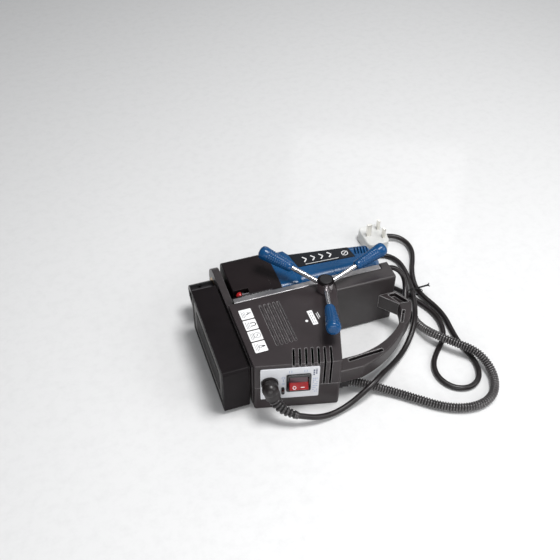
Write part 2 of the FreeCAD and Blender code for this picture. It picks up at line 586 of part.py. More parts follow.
# ---------------------------------------------------------------- carry handle
def make_handle():
    def curve(a, b, c):
        return Part.Arc(V(a[0], a[1], 0), V(b[0], b[1], 0), V(c[0], c[1], 0)).toShape()

    def line(a, b):
        return Part.LineSegment(V(a[0], a[1], 0), V(b[0], b[1], 0)).toShape()

    foot_low = wall_point(COVER_OUTLINE[2], COVER_OUTLINE[3], 7.5, 0, 0)
    foot_high = wall_point(COVER_OUTLINE[2], COVER_OUTLINE[3], 31.0, 0, 0)
    low, high = (foot_low.x, foot_low.y), (foot_high.x, foot_high.y)
    wire = Part.Wire([
        line((290.0, COLUMN_REAR), (304.0, 64.0)), curve((304.0, 64.0), (292.5, 43.0), (272.0, 23.0)),
        curve((272.0, 23.0), (236.0, -6.0), (188.0, -25.0)), line((188.0, -25.0), low),
        line(low, high), line(high, (186.0, -2.0)), curve((186.0, -2.0), (227.0, 6.0), (257.0, 22.5)),
        curve((257.0, 22.5), (275.5, 42.0), (284.0, 66.0)), line((284.0, 66.0), (263.5, COLUMN_REAR)),
        line((263.5, COLUMN_REAR), (290.0, COLUMN_REAR))])
    solid = Part.Face(wire).extrude(V(0, 0, 2 * HANDLE_HALF))
    solid.translate(V(0, 0, MID - HANDLE_HALF))
    solid = fillet_where(solid, 2.0, lambda b: b.ZLength < 0.1 and b.YMax < COLUMN_REAR - 1
                         and not (b.XMax < 170 and b.YMin < 0 and b.YLength > 15))
    for z0, z1 in ((MID + HANDLE_HALF - HANDLE_POCKET_DEPTH, MID + HANDLE_HALF + 1),
                   (MID - HANDLE_HALF - 1, MID - HANDLE_HALF + HANDLE_POCKET_DEPTH)):
        solid = solid.cut(prism_z(LONG_SLOT, z0, z1)).cut(prism_z(SHORT_SLOT, z0, z1))
        solid = solid.cut(fillet_along(prism_z(UPPER_POCKET, z0, z1), Z_AXIS, 1.5))
    solid = solid.cut(cylinder(V(HANDLE_BOLT_X, 81.5, MID), Y_AXIS, 2.5, 12.0))
    for z in HANDLE_SCREWS_Z:
        solid = solid.cut(on_top_wall(cylinder(V(HANDLE_FOOT_U, -14, z), Y_AXIS, 2.05, 15)))
    add("carry_handle", solid)
    screws = [screw(V(HANDLE_BOLT_X, HANDLE_BOLT_SEAT, MID), Y_AXIS, 4.8, 5.0, 2.5, 19.0)]
    for z in HANDLE_SCREWS_Z:
        seat = wall_point(COVER_OUTLINE[2], COVER_OUTLINE[3], HANDLE_FOOT_U, -SKIN, z)
        inward = wall_point(COVER_OUTLINE[2], COVER_OUTLINE[3], HANDLE_FOOT_U, -SKIN - 1, z).sub(seat)
        screws.append(screw(seat, inward, 4.0, 3.0, 2.0, 14.0))
    add("handle_screws", group(screws))


# ---------------------------------------------------------------- cords and what is on them
def make_cords():
    base = wall_point(COVER_OUTLINE[1], COVER_OUTLINE[2], GLAND_U, 2.0, GLAND_Z)
    out = wall_point(COVER_OUTLINE[1], COVER_OUTLINE[2], GLAND_U, 3.0, GLAND_Z).sub(base)
    elbow = base.add(out * GLAND_REACH)
    route = [V(*p) for p in RELIEF_ROUTE]
    down = route[0].sub(elbow)
    gland = cylinder(base.sub(out * 8.0), out, 7.0, 8.0).fuse([
        cylinder(base, out, GLAND_RADIUS + 0.5, 3.0), cylinder(base.add(out * 2.0), out,
                                                               GLAND_RADIUS - 0.8, GLAND_REACH - 2.0),
        Part.makeSphere(GLAND_RADIUS, elbow), cylinder(elbow, down, GLAND_RADIUS - 0.6, down.Length)])
    add("cable_gland", gland.removeSplitter())
    headings = [down, *[after.sub(before) for before, after in zip(route, route[2:])],
                V(*CORD_ROUTE[1]).sub(route[-1])]
    sections = [Part.Wire(Part.Circle(centre, heading, radius).toShape())
                for centre, heading, radius in zip(route, headings, RELIEF_RADII)]
    add("cord_strain_relief", Part.makeLoft(sections, True, False))
    tube("power_cord", CORD_ROUTE, CORD_RADIUS)

    end = V(*CORD_ROUTE[-1])
    length, width, height = PLUG_SIZE
    side = end.x - PLUG_CLEAR
    body = box(side - length, side, end.y - width / 2, end.y + width / 2, 0.5, 0.5 + height)
    body = fillet_along(body, Z_AXIS, 9.0)
    body = fillet_where(body, 2.5, lambda b: b.ZLength < 0.1 and b.ZMin > 20)
    sleeve = Part.makeCone(8.0, 5.2, 12.0, V(end.x - 12.0, end.y, end.z), X_AXIS)
    body = body.fuse(sleeve).removeSplitter()
    body = body.cut(cylinder_x(end.x, end.x + 20, end.y, end.z, 20.0))
    pins = []
    for dx, dy, wide, long, top in (EARTH_PIN, *LIVE_PINS):
        x, y = end.x + dx, end.y + dy
        pin = box(x - long / 2, x + long / 2, y - wide / 2, y + wide / 2, PIN_ROOT_Z, top)
        body = body.cut(pin)
        pins.append(pin)
    add("plug_body", body)
    add("plug_pins", group(pins))

    strands = [V(x, TIE_Y, z) for x, z in TIE_STRANDS]
    loop = Part.makePolygon(strands + [strands[0]])
    ring = Part.Face(loop.makeOffset2D(CORD_RADIUS + 1.8)).cut(
        Part.Face(loop.makeOffset2D(CORD_RADIUS + 1.0))).extrude(V(0, 1.6, 0))
    add("cord_tie", ring)

    base = wall_point(COVER_OUTLINE[2], COVER_OUTLINE[3], CONDUIT_GLAND_U, 0, CONDUIT_GLAND_Z)
    out = wall_point(COVER_OUTLINE[2], COVER_OUTLINE[3], CONDUIT_GLAND_U, 1, CONDUIT_GLAND_Z).sub(base)
    gland = cylinder(base.sub(out * 6.0), out, 7.0, 6.0).fuse(cylinder(base, out, 10.0, 6.0))
    gland = gland.fuse(cylinder(base.add(out * 5.0), out, 8.0, 9.0)).removeSplitter()
    add("conduit_gland", gland)
    tube("motor_conduit", CONDUIT_ROUTE, CONDUIT_RADIUS)
    tube("motor_cable", MOTOR_CABLE_ROUTE, CORD_RADIUS)


# ---------------------------------------------------------------- slide and its rack
def make_slide():
    back = COLUMN_FRONT + 0.15
    tongue = dovetail_bar(SLIDE_FROM, SLIDE_TO, 0.0, STRIP_FRONT)
    tongue = tongue.common(box(SLIDE_FROM - 1, SLIDE_TO + 1, back, STRIP_FRONT + 1, 0, WIDTH))
    neck = box(SLIDE_FROM, SLIDE_TO, STRIP_FRONT - 0.5, SLIDE_FACE, MID - DOVETAIL_FRONT_HALF + 0.5,
               MID + DOVETAIL_FRONT_HALF - 0.5)
    plate = box(SLIDE_FROM - 2, GEARBOX_TO, SLIDE_FACE, GEARBOX_REAR, 4.0, WIDTH - 4.0)
    plate = plate.fuse(box(GEARBOX_TO - 1, SLIDE_TO, SLIDE_FACE, SLIDE_FACE + 2.5,
                           MID - 29.0, MID + 29.0))
    body = tongue.fuse([neck, plate]).removeSplitter()
    for x, z in SLIDE_SCREWS:
        body = body.cut(cylinder(V(x, COLUMN_FRONT, z), Y_AXIS, 2.6, 20.0))
        body = body.cut(cylinder(V(x, COLUMN_FRONT, z), Y_AXIS, 4.8, 5.4))
    add("slide_plate", body)
    add("slide_screws", group([screw(V(x, COLUMN_FRONT + 5.4, z), V(0, -1, 0), 4.5, 4.8, 2.5, 14.0)
                               for x, z in SLIDE_SCREWS]))

    pitch = math.pi * RACK_MODULE
    pitch_y = PINION_Y + RACK_MODULE * PINION_TEETH / 2
    tip_y = pitch_y - RACK_ADDENDUM * RACK_MODULE
    root_y = pitch_y + RACK_DEDENDUM * RACK_MODULE
    slope = math.tan(math.radians(20))
    half = pitch / 4 - 0.08
    outline = [(RACK_FROM, back), (RACK_FROM, root_y)]
    first = math.ceil((RACK_FROM + 2 - PINION_X) / pitch - 0.5)
    x = PINION_X + (first + 0.5) * pitch
    while x < RACK_TO - 2:
        tip_half = half - (pitch_y - tip_y) * slope
        root_half = half + (root_y - pitch_y) * slope
        outline += [(x - root_half, root_y), (x - tip_half, tip_y), (x + tip_half, tip_y),
                    (x + root_half, root_y)]
        x += pitch
    outline += [(RACK_TO, root_y), (RACK_TO, back)]
    add("feed_rack", prism_z(outline, MID - RACK_HALF, MID + RACK_HALF))


def make_capstan():
    pressure = math.radians(20)
    outline = gear_points(RACK_MODULE, PINION_TEETH, pressure, RACK_ADDENDUM, RACK_DEDENDUM, 0.16,
                          math.pi / 2)
    corners = [V(PINION_X + r * math.cos(a), PINION_Y + r * math.sin(a), MID - RACK_HALF - 0.5)
               for r, a in outline]
    shaft = prism(corners, V(0, 0, 2 * RACK_HALF + 1))
    seat = HUB_TO - CAP_SEAT
    shaft = shaft.fuse([cylinder_z(PINION_X, PINION_Y, 8.0, MID, PINION_SHAFT_RADIUS),
                        cylinder_z(PINION_X, PINION_Y, MID, seat, PINION_SHAFT_RADIUS)])
    shaft = shaft.removeSplitter()
    add("pinion_shaft", shaft)
    bushes = []
    for z0, z1 in ((7.0, MID - 9.5), (MID + 9.5, 86.0)):
        bush = cylinder_z(PINION_X, PINION_Y, z0, z1, PINION_BUSH_RADIUS)
        bushes.append(bush.cut(cylinder_z(PINION_X, PINION_Y, z0 - 1, z1 + 1,
                                          PINION_SHAFT_RADIUS + 0.05)))
    add("pinion_bushes", group(bushes))
    hub = cylinder_z(PINION_X, PINION_Y, HUB_FROM, HUB_TO, HUB_RADIUS)
    hub = fillet_where(hub, 1.2, lambda b: b.ZMin > HUB_TO - 0.1)
    hub = fillet_where(hub, 0.6, lambda b: b.ZMax < HUB_FROM + 0.1)
    hub = hub.cut(cylinder_z(PINION_X, PINION_Y, HUB_FROM - 1, seat, PINION_SHAFT_RADIUS))
    hub = hub.cut(cylinder_z(PINION_X, PINION_Y, seat, HUB_TO + 1, CAP_RADIUS))
    rods = []
    grips = []
    for angle in SPOKE_ANGLES:
        flat = V(math.cos(math.radians(angle)), math.sin(math.radians(angle)), 0)
        tilt = math.radians(SPOKE_TILT)
        along = flat * math.cos(tilt) + Z_AXIS * math.sin(tilt)
        origin = V(PINION_X, PINION_Y, SPOKE_HEIGHT)
        socket = origin.add(along * SPOKE_SEAT)
        hub = hub.cut(cylinder(socket, along, ROD_NECK_RADIUS, 10.0))
        rod = cylinder(socket, along, ROD_NECK_RADIUS, 6.0)
        rod = rod.fuse(cylinder(origin.add(along * 13.6), along, ROD_RADIUS, ROD_TO - 13.6))
        rod = rod.removeSplitter()
        rods.append(rod)
        grips.append(make_grip(origin, along))
    add("capstan_hub", hub)
    cap = cylinder_z(PINION_X, PINION_Y, seat, HUB_TO + 2.0, CAP_RADIUS)
    add("hub_cap", fillet_where(cap, 1.5, lambda b: b.ZMin > HUB_TO + 1.9))
    add("feed_handle_rods", group(rods))
    add("feed_handle_grips", group(grips))


def make_grip(origin, along):
    """Tapered moulded grip, wider at its free end, over the outer half of its rod."""
    points = [V(r, 0, z) for z, r in GRIP_STATIONS]
    top = V(0, 0, GRIP_STATIONS[-1][0])
    edges = [Part.LineSegment(V(0, 0, 0), points[0]).toShape(),
             Part.LineSegment(points[0], points[1]).toShape(),
             Part.Arc(points[1], points[2], points[3]).toShape(),
             Part.Arc(points[3], points[4], points[5]).toShape(),
             Part.LineSegment(points[5], top).toShape(), Part.LineSegment(top, V(0, 0, 0)).toShape()]
    solid = Part.Face(Part.Wire(edges)).revolve(V(0, 0, 0), Z_AXIS, 360)
    solid = solid.cut(Part.makeCylinder(ROD_RADIUS, ROD_TO - GRIP_FROM + 1, V(0, 0, -1)))
    solid.Placement = FreeCAD.Placement(origin.add(along * GRIP_FROM), FreeCAD.Rotation(Z_AXIS, along))
    return solid


# ---------------------------------------------------------------- gearbox, arbor and gears
def layshaft_centre():
    first = FIRST_MODULE * sum(FIRST_TEETH) / 2
    second = SECOND_MODULE * sum(SECOND_TEETH) / 2
    gap = ARBOR_Y - MOTOR_Y
    along = (first ** 2 - second ** 2 + gap ** 2) / (2 * gap)
    return MOTOR_Y + along, MID - math.sqrt(first ** 2 - along ** 2)


def make_gearbox():
    lay_y, lay_z = layshaft_centre()
    side0, side1 = GEARBOX_SIDE, WIDTH - GEARBOX_SIDE
    floor = GEARBOX_FLOOR + 4.0
    shell = box(GEARBOX_FROM, GEARBOX_TO, GEARBOX_REAR, GEARBOX_FRONT, side0, side1)
    shell = fillet_along(shell, X_AXIS, GEARBOX_CORNER, lambda p: p.y > GEARBOX_FRONT - 1)
    shell = fillet_where(shell, 1.5, lambda b: b.XMax < GEARBOX_FROM + 0.1)
    shell = shell.cut(rounded_bar_x(GEARBOX_FLOOR, GEARBOX_TO + 1, GEARBOX_REAR + 5,
                                    GEARBOX_FRONT - 4, side0 + 5, side1 - 5, GEARBOX_CORNER - 4))
    pocket_y, pocket_z = GEARBOX_REAR + 14.0, WIDTH - 20.0
    cuts = [cylinder_x(GEARBOX_FROM - 1, floor, ARBOR_Y, MID, 13.0),
            cylinder_x(58.0, floor, ARBOR_Y, MID, ARBOR_BEARING_RADIUS),
            cylinder_x(59.0, floor, lay_y, lay_z, LAY_BEARING_RADIUS),
            box(GEARBOX_FROM - 1, POCKET_TO, GEARBOX_REAR - 1, pocket_y, pocket_z, WIDTH)]
    for cut in cuts:
        shell = shell.cut(cut)
    wall = 3.0
    lined_to = POCKET_TO + wall
    lining = box(GEARBOX_FROM, lined_to, GEARBOX_REAR, pocket_y + wall, pocket_z - wall, pocket_z)
    side = box(POCKET_TO, lined_to, GEARBOX_REAR, pocket_y + wall, pocket_z - 1, side1 - 1)
    front = box(GEARBOX_FROM, lined_to, pocket_y, pocket_y + wall, pocket_z - 1, side1 - 1)
    shell = shell.fuse([lining, side, front]).removeSplitter()
    shell = shell.cut(cylinder_x(GEARBOX_FROM - 1, floor, ARBOR_Y, MID, 13.0))
    for x, z in SLIDE_SCREWS:
        shell = shell.cut(cylinder(V(x, GEARBOX_REAR - 1, z), Y_AXIS, 2.55, 5.5))
    for y, z in ADAPTER_SCREWS:
        shell = shell.cut(cylinder_x(GEARBOX_TO - 12, GEARBOX_TO + 1, y, z, 2.05))
    add("gearbox_housing", shell)

    adapter = box(GEARBOX_TO, ADAPTER_TO, GEARBOX_REAR, GEARBOX_FRONT, side0, side1)
    adapter = fillet_along(adapter, X_AXIS, GEARBOX_CORNER, lambda p: p.y > GEARBOX_FRONT - 1)
    cuts = [cylinder_x(GEARBOX_TO - 1, GEARBOX_TO + 7, ARBOR_Y, MID, UPPER_BEARING_RADIUS),
            cylinder_x(GEARBOX_TO - 1, GEARBOX_TO + 5, lay_y, lay_z, LAY_BEARING_RADIUS),
            cylinder_x(GEARBOX_TO - 1, ADAPTER_TO + 1, MOTOR_Y, MID, 6.5),
            cylinder_x(ADAPTER_TO - 8, ADAPTER_TO + 1, MOTOR_Y, MID, MOTOR_BEARING_RADIUS)]
    for y, z in ADAPTER_SCREWS:
        cuts.append(cylinder_x(GEARBOX_TO - 1, ADAPTER_TO + 1, y, z, 2.1))
        cuts.append(cylinder_x(ADAPTER_TO - 4.2, ADAPTER_TO + 1, y, z, 3.8))
    for cut in cuts:
        adapter = adapter.cut(cut)
    add("motor_adapter", adapter)
    add("adapter_screws", group([screw(V(ADAPTER_TO - 4.2, y, z), X_AXIS, 3.5, 4.0, 2.0, 20.0)
                                 for y, z in ADAPTER_SCREWS]))

    bearings = [ring_x(58.0, GEARBOX_FLOOR, ARBOR_Y, MID, ARBOR_BEARING_RADIUS, 10.03),
                ring_x(GEARBOX_TO, GEARBOX_TO + 7, ARBOR_Y, MID, UPPER_BEARING_RADIUS, 7.03)]
    for x in (60.0, GEARBOX_TO):
        bearings.append(ring_x(x, x + 5, lay_y, lay_z, LAY_BEARING_RADIUS, 3.03))
    add("gearbox_bearings", group(bearings))
    scale = box(64.0, 110.0, STRIP_FRONT + 1.2, STRIP_FRONT + 5.6, WIDTH - 4.0, WIDTH - 3.2)
    add("depth_scale", scale)

    tap_y, tap_z = GEARBOX_REAR + 7.0, WIDTH - 11.0
    stem = cylinder_x(60.0, POCKET_TO, tap_y, tap_z, 2.6)
    stem = stem.fuse(cylinder_x(66.0, 70.0, tap_y, tap_z, 4.4))
    stem = stem.removeSplitter()
    stem = stem.fuse(box(69.0, POCKET_TO, tap_y - 4, tap_y + 4, pocket_z, tap_z)).removeSplitter()
    knob = Part.makeSphere(5.2, V(64.0, tap_y, tap_z))
    knob = knob.cut(box(66.0, 80.0, tap_y - 9, tap_y + 9, tap_z - 9, tap_z + 9))
    add("coolant_inlet", stem.cut(Part.makeSphere(5.2, V(64.0, tap_y, tap_z))))
    add("coolant_cap", knob.cut(cylinder_x(50.0, 80.0, tap_y, tap_z, 2.6)).fuse(
        cylinder_x(59.2, 60.0, tap_y, tap_z, 2.6)).removeSplitter())


def make_gear_train():
    lay_y, lay_z = layshaft_centre()
    to_motor = math.atan2(MID - lay_z, MOTOR_Y - lay_y)
    to_arbor = math.atan2(MID - lay_z, ARBOR_Y - lay_y)

    arbor = cylinder_x(ARBOR_NOSE_FROM, ARBOR_NOSE_TO, ARBOR_Y, MID, ARBOR_NOSE_RADIUS)
    arbor = fillet_where(arbor, 1.0, lambda b: b.XMax < ARBOR_NOSE_FROM + 0.1)
    arbor = arbor.fuse([cylinder_x(ARBOR_NOSE_TO, 57.6, ARBOR_Y, MID, 12.0),
                        cylinder_x(57.6, 68.0, ARBOR_Y, MID, 10.0),
                        cylinder_x(68.0, 82.0, ARBOR_Y, MID, 9.0),
                        cylinder_x(82.0, 118.6, ARBOR_Y, MID, 7.0)]).removeSplitter()
    arbor = arbor.cut(cylinder_x(ARBOR_NOSE_FROM - 1, ARBOR_NOSE_FROM + ARBOR_BORE_DEPTH, ARBOR_Y,
                                 MID, ARBOR_BORE_RADIUS))
    set_screws = []
    for direction in (V(0, 1, 0), V(0, 0, 1)):
        start = V(ARBOR_NOSE_FROM + 14.0, ARBOR_Y, MID).add(direction * ARBOR_BORE_RADIUS)
        arbor = arbor.cut(cylinder(start.sub(direction), direction, 4.0, 12.0))
        plug = cylinder(start.add(direction * 0.5), direction, 4.0, 6.2)
        plug = plug.cut(cylinder(start.add(direction * 4.0), direction, 2.0, 5.0))
        set_screws.append(plug)
    add("arbor", arbor)
    add("arbor_set_screws", group(set_screws))
    tooth = (GEAR_PRESSURE, GEAR_ADDENDUM, GEAR_DEDENDUM)
    wheel = gear_points(SECOND_MODULE, SECOND_TEETH[1], *tooth, 0.12,
                        to_arbor + math.pi + math.pi / SECOND_TEETH[1])
    add("arbor_gear", gear_x(69.0, 79.0, ARBOR_Y, MID, wheel).cut(
        cylinder_x(68.0, 80.0, ARBOR_Y, MID, 9.0)))

    pinion = gear_points(SECOND_MODULE, SECOND_TEETH[0], *tooth, 0.12, to_arbor)
    shaft = gear_x(68.0, 81.0, lay_y, lay_z, pinion).fuse(
        [cylinder_x(60.5, 68.0, lay_y, lay_z, 3.0), cylinder_x(81.0, 116.5, lay_y, lay_z, 3.0)])
    add("layshaft", shaft.removeSplitter())
    wheel = gear_points(FIRST_MODULE, FIRST_TEETH[1], *tooth, 0.1, to_motor)
    add("layshaft_gear", gear_x(97.0, 105.0, lay_y, lay_z, wheel).cut(
        cylinder_x(96.0, 106.0, lay_y, lay_z, 3.0)))

    pinion = gear_points(FIRST_MODULE, FIRST_TEETH[0], *tooth, 0.1,
                         to_motor + math.pi + math.pi / FIRST_TEETH[0])
    shaft = gear_x(96.0, 106.0, MOTOR_Y, MID, pinion)
    shaft = shaft.fuse(cylinder_x(106.0, 279.0, MOTOR_Y, MID, MOTOR_SHAFT_RADIUS))
    add("armature_shaft", shaft.removeSplitter())
    core = ring_x(168.0, 204.0, MOTOR_Y, MID, 16.0, MOTOR_SHAFT_RADIUS)
    for i in range(12):
        a = math.radians(30 * i)
        core = core.cut(cylinder_x(167.0, 205.0, MOTOR_Y + 15.2 * math.cos(a),
                                   MID + 15.2 * math.sin(a), 1.6))
    add("armature_core", core)
    add("commutator", ring_x(BRUSH_X - 8, BRUSH_X + 8, MOTOR_Y, MID, 10.0, MOTOR_SHAFT_RADIUS))
    fan = ring_x(134.0, 142.0, MOTOR_Y, MID, 8.0, MOTOR_SHAFT_RADIUS)
    fan = fan.fuse(ring_x(134.0, 136.0, MOTOR_Y, MID, 24.0, MOTOR_SHAFT_RADIUS))
    for i in range(9):
        blade = box(135.0, 144.0, MOTOR_Y + 7.0, MOTOR_Y + 23.5, MID - 0.8, MID + 0.8)
        blade.rotate(V(0, MOTOR_Y, MID), X_AXIS, 40 * i)
        fan = fan.fuse(blade)
    add("cooling_fan", fan.removeSplitter())


# ---------------------------------------------------------------- motor
def rounded_section(x, y0, y1, z0, z1, radius):
    """Rounded rectangle across x as a wire of four straight edges and four arcs."""
    k = radius * (1 - math.sqrt(0.5))
    corners = [((y0, z0), (1, 0), (0, 1)), ((y1, z0), (0, 1), (-1, 0)),
               ((y1, z1), (-1, 0), (0, -1)), ((y0, z1), (0, -1), (1, 0))]
    arcs = []
    for (y, z), ahead, behind in corners:
        first = V(x, y + behind[0] * radius, z + behind[1] * radius)
        middle = V(x, y + (ahead[0] + behind[0]) * k, z + (ahead[1] + behind[1]) * k)
        second = V(x, y + ahead[0] * radius, z + ahead[1] * radius)
        arcs.append((first, middle, second))
    edges = []
    for i, (first, middle, second) in enumerate(arcs):
        edges.append(Part.Arc(first, middle, second).toShape())
        edges.append(Part.LineSegment(second, arcs[(i + 1) % 4][0]).toShape())
    return Part.Wire(edges)


def motor_front(x):
    """Front face of the tapering motor case at a height x."""
    return 203.0 - 15.5 * (x - MOTOR_BODY_FROM) / (270.0 - MOTOR_BODY_FROM)


def motor_section(x):
    return rounded_section(x, MOTOR_REAR, motor_front(x), MOTOR_BOTTOM, MOTOR_TOP, MOTOR_CORNER)


def make_motor():
    flange = rounded_bar_x(ADAPTER_TO, FLANGE_TO, *FLANGE_SECTION)
    neck = Part.makeLoft([rounded_section(FLANGE_TO, *FLANGE_SECTION), motor_section(MOTOR_BODY_FROM)],
                         True, True)
    long_body = Part.makeLoft([motor_section(MOTOR_BODY_FROM), motor_section(MOTOR_TAPER_FROM)],
                              True, True)
    end = rounded_section(MOTOR_TO, MOTOR_REAR + MOTOR_TAPER,
                          motor_front(MOTOR_TAPER_FROM) - MOTOR_TAPER, MOTOR_BOTTOM + MOTOR_TAPER,
                          MOTOR_TOP - MOTOR_TAPER, MOTOR_CORNER - 5)
    tail = Part.makeLoft([motor_section(MOTOR_TAPER_FROM), end], True, True)
    body = flange.fuse([neck, long_body, tail]).removeSplitter()
    body = body.cut(cylinder_x(ADAPTER_TO - 1, 150.0, MOTOR_Y, MID, 27.0))
    body = body.cut(cylinder_x(149.0, 222.0, MOTOR_Y, MID, STATOR_RADIUS))
    body = body.cut(cylinder_x(221.0, 280.0, MOTOR_Y, MID, 20.0))
    body = body.cut(prism_z(LABEL_RECESS, MOTOR_TOP - 1.0, MOTOR_TOP + 1))
    for i in range(5):
        slot = box(-1.1, 1.1, -8.5, 8.5, MOTOR_TOP - 4.0, MOTOR_TOP + 1)
        slot.rotate(V(0, 0, 0), Z_AXIS, MOTOR_VENT_ANGLE)
        slot.translate(V(MOTOR_VENT_FROM[0] + MOTOR_VENT_STEP[0] * i,
                         MOTOR_VENT_FROM[1] + MOTOR_VENT_STEP[1] * i, 0))
        body = body.cut(slot)
    for y in (ADAPTER_SCREWS[0][0], ADAPTER_SCREWS[2][0]):
        for z in (MID - 31.0, MID + 31.0):
            body = body.cut(cylinder_x(ADAPTER_TO - 1, ADAPTER_TO + 6, y, z, 1.0))
    front = body.cut(box(MOTOR_SPLIT, 300.0, 100.0, 220.0, 0.0, WIDTH))
    rear = body.cut(box(100.0, MOTOR_SPLIT, 100.0, 220.0, 0.0, WIDTH))
    rear = rear.cut(cylinder_x(279.0, MOTOR_TO + 1, MOTOR_CABLE_Y, MID, 5.0))
    for side in (-1, 1):
        rear = rear.cut(cylinder(V(BRUSH_X, MOTOR_Y, MID), V(0, side, 0), BRUSH_CAP_RADIUS, 40.0))
    add("motor_housing", front)
    add("motor_tail", rear)
    add("motor_label", prism_z(LABEL_OUTLINE, MOTOR_TOP - 1.0, MOTOR_TOP + 0.3))
    stator = ring_x(166.0, 206.0, MOTOR_Y, MID, STATOR_RADIUS, 17.0)
    stator = stator.fuse([ring_x(158.0, 214.0, MOTOR_Y, MID, 25.0, 19.0)]).removeSplitter()
    add("stator", stator)
    add("motor_bearings", group([ring_x(ADAPTER_TO - 8, ADAPTER_TO, MOTOR_Y, MID,
                                        MOTOR_BEARING_RADIUS, 4.03),
                                 ring_x(272.0, 279.6, MOTOR_Y, MID, 20.0, 4.03)]))
    brushes = []
    caps = []
    for side in (-1, 1):
        aside = V(0, side, 0)
        brushes.append(cylinder(V(BRUSH_X, MOTOR_Y + side * 10.05, MID), aside, 3.0, 9.0))
        outer = (MOTOR_Y - MOTOR_REAR if side < 0 else motor_front(BRUSH_X) - MOTOR_Y) - 0.4
        caps.append(cylinder(V(BRUSH_X, MOTOR_Y + side * 19.5, MID), aside, BRUSH_CAP_RADIUS,
                             outer - 19.5))
    add("motor_brushes", group(brushes))
    add("brush_caps", group(caps))
    gland = cylinder_x(280.0, MOTOR_TO, MOTOR_CABLE_Y, MID, 5.0)
    gland = gland.fuse(Part.makeCone(7.5, 5.2, 12.0, V(MOTOR_TO, MOTOR_CABLE_Y, MID), X_AXIS))
    add("motor_gland", gland.removeSplitter())


# ---------------------------------------------------------------- build and write
make_magnet()
make_stand()
make_strips()
make_covers()
make_switch_panel()
make_handle()
make_slide()
make_capstan()
make_gearbox()
make_gear_train()
make_motor()
make_cords()

low = [1e9, 1e9, 1e9]
high = [-1e9, -1e9, -1e9]
for name, shape in nodes.items():
    if name in CORD_NODES:
        continue
    b = shape.optimalBoundingBox(True, False)
    low = [min(a, c) for a, c in zip(low, (b.XMin, b.YMin, b.ZMin))]
    high = [max(a, c) for a, c in zip(high, (b.XMax, b.YMax, b.ZMax))]
shift = V(-(low[0] + high[0]) / 2, -(low[1] + high[1]) / 2, -low[2])
print("box", [round(v, 3) for v in low], [round(v, 3) for v in high], "shift", shift)
for name, shape in nodes.items():
    moved = shape.copy()
    moved.translate(shift)
    moved.exportStep("parts/%s.step" % name)
    if not shape.isValid() or any(not s.isClosed() for s in shape.Solids) or not shape.Solids:
        print("BAD", name, shape.ShapeType, len(shape.Solids))
print(len(nodes), "nodes")
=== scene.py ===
"""Looks of the magnetic drill press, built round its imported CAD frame. All lengths are metres."""
import bpy
import json
import math
from mathutils import Matrix, Vector


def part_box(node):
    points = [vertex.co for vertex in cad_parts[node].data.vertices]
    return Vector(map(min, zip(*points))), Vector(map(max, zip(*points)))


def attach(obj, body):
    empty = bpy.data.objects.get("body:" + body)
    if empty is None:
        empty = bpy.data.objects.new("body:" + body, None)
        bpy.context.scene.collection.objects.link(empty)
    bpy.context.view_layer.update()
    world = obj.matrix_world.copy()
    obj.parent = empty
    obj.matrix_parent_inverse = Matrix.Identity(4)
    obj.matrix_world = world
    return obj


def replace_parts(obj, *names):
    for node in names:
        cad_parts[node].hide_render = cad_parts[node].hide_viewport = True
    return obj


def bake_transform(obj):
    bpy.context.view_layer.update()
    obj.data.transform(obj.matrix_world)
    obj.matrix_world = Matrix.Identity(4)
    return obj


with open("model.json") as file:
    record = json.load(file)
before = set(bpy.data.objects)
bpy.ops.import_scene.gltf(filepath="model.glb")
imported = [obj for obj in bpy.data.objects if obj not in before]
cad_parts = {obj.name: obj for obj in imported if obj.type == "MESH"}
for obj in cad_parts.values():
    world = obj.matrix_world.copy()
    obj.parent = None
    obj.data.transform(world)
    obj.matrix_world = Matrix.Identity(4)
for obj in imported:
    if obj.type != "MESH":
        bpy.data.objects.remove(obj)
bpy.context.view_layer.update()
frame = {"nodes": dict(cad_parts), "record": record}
NODES = frame["nodes"]
MM = 0.001

# The magnet's rear corner on the standing surface, from which the machine's heights and depths
# are counted: "at" turns (height, depth, width) in millimetres into a point of the row frame.
CORNER = Vector((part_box("magnet_housing")[0].x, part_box("magnet_housing")[0].y, 0.0))


def at(x, y, z):
    return CORNER + Vector((x, y, z)) * MM


# ---------------------------------------------------------------- node helpers
COLOR_A, COLOR_B, COLOR_RESULT = 6, 7, 2    # the colour sockets of a Mix node, whose names repeat


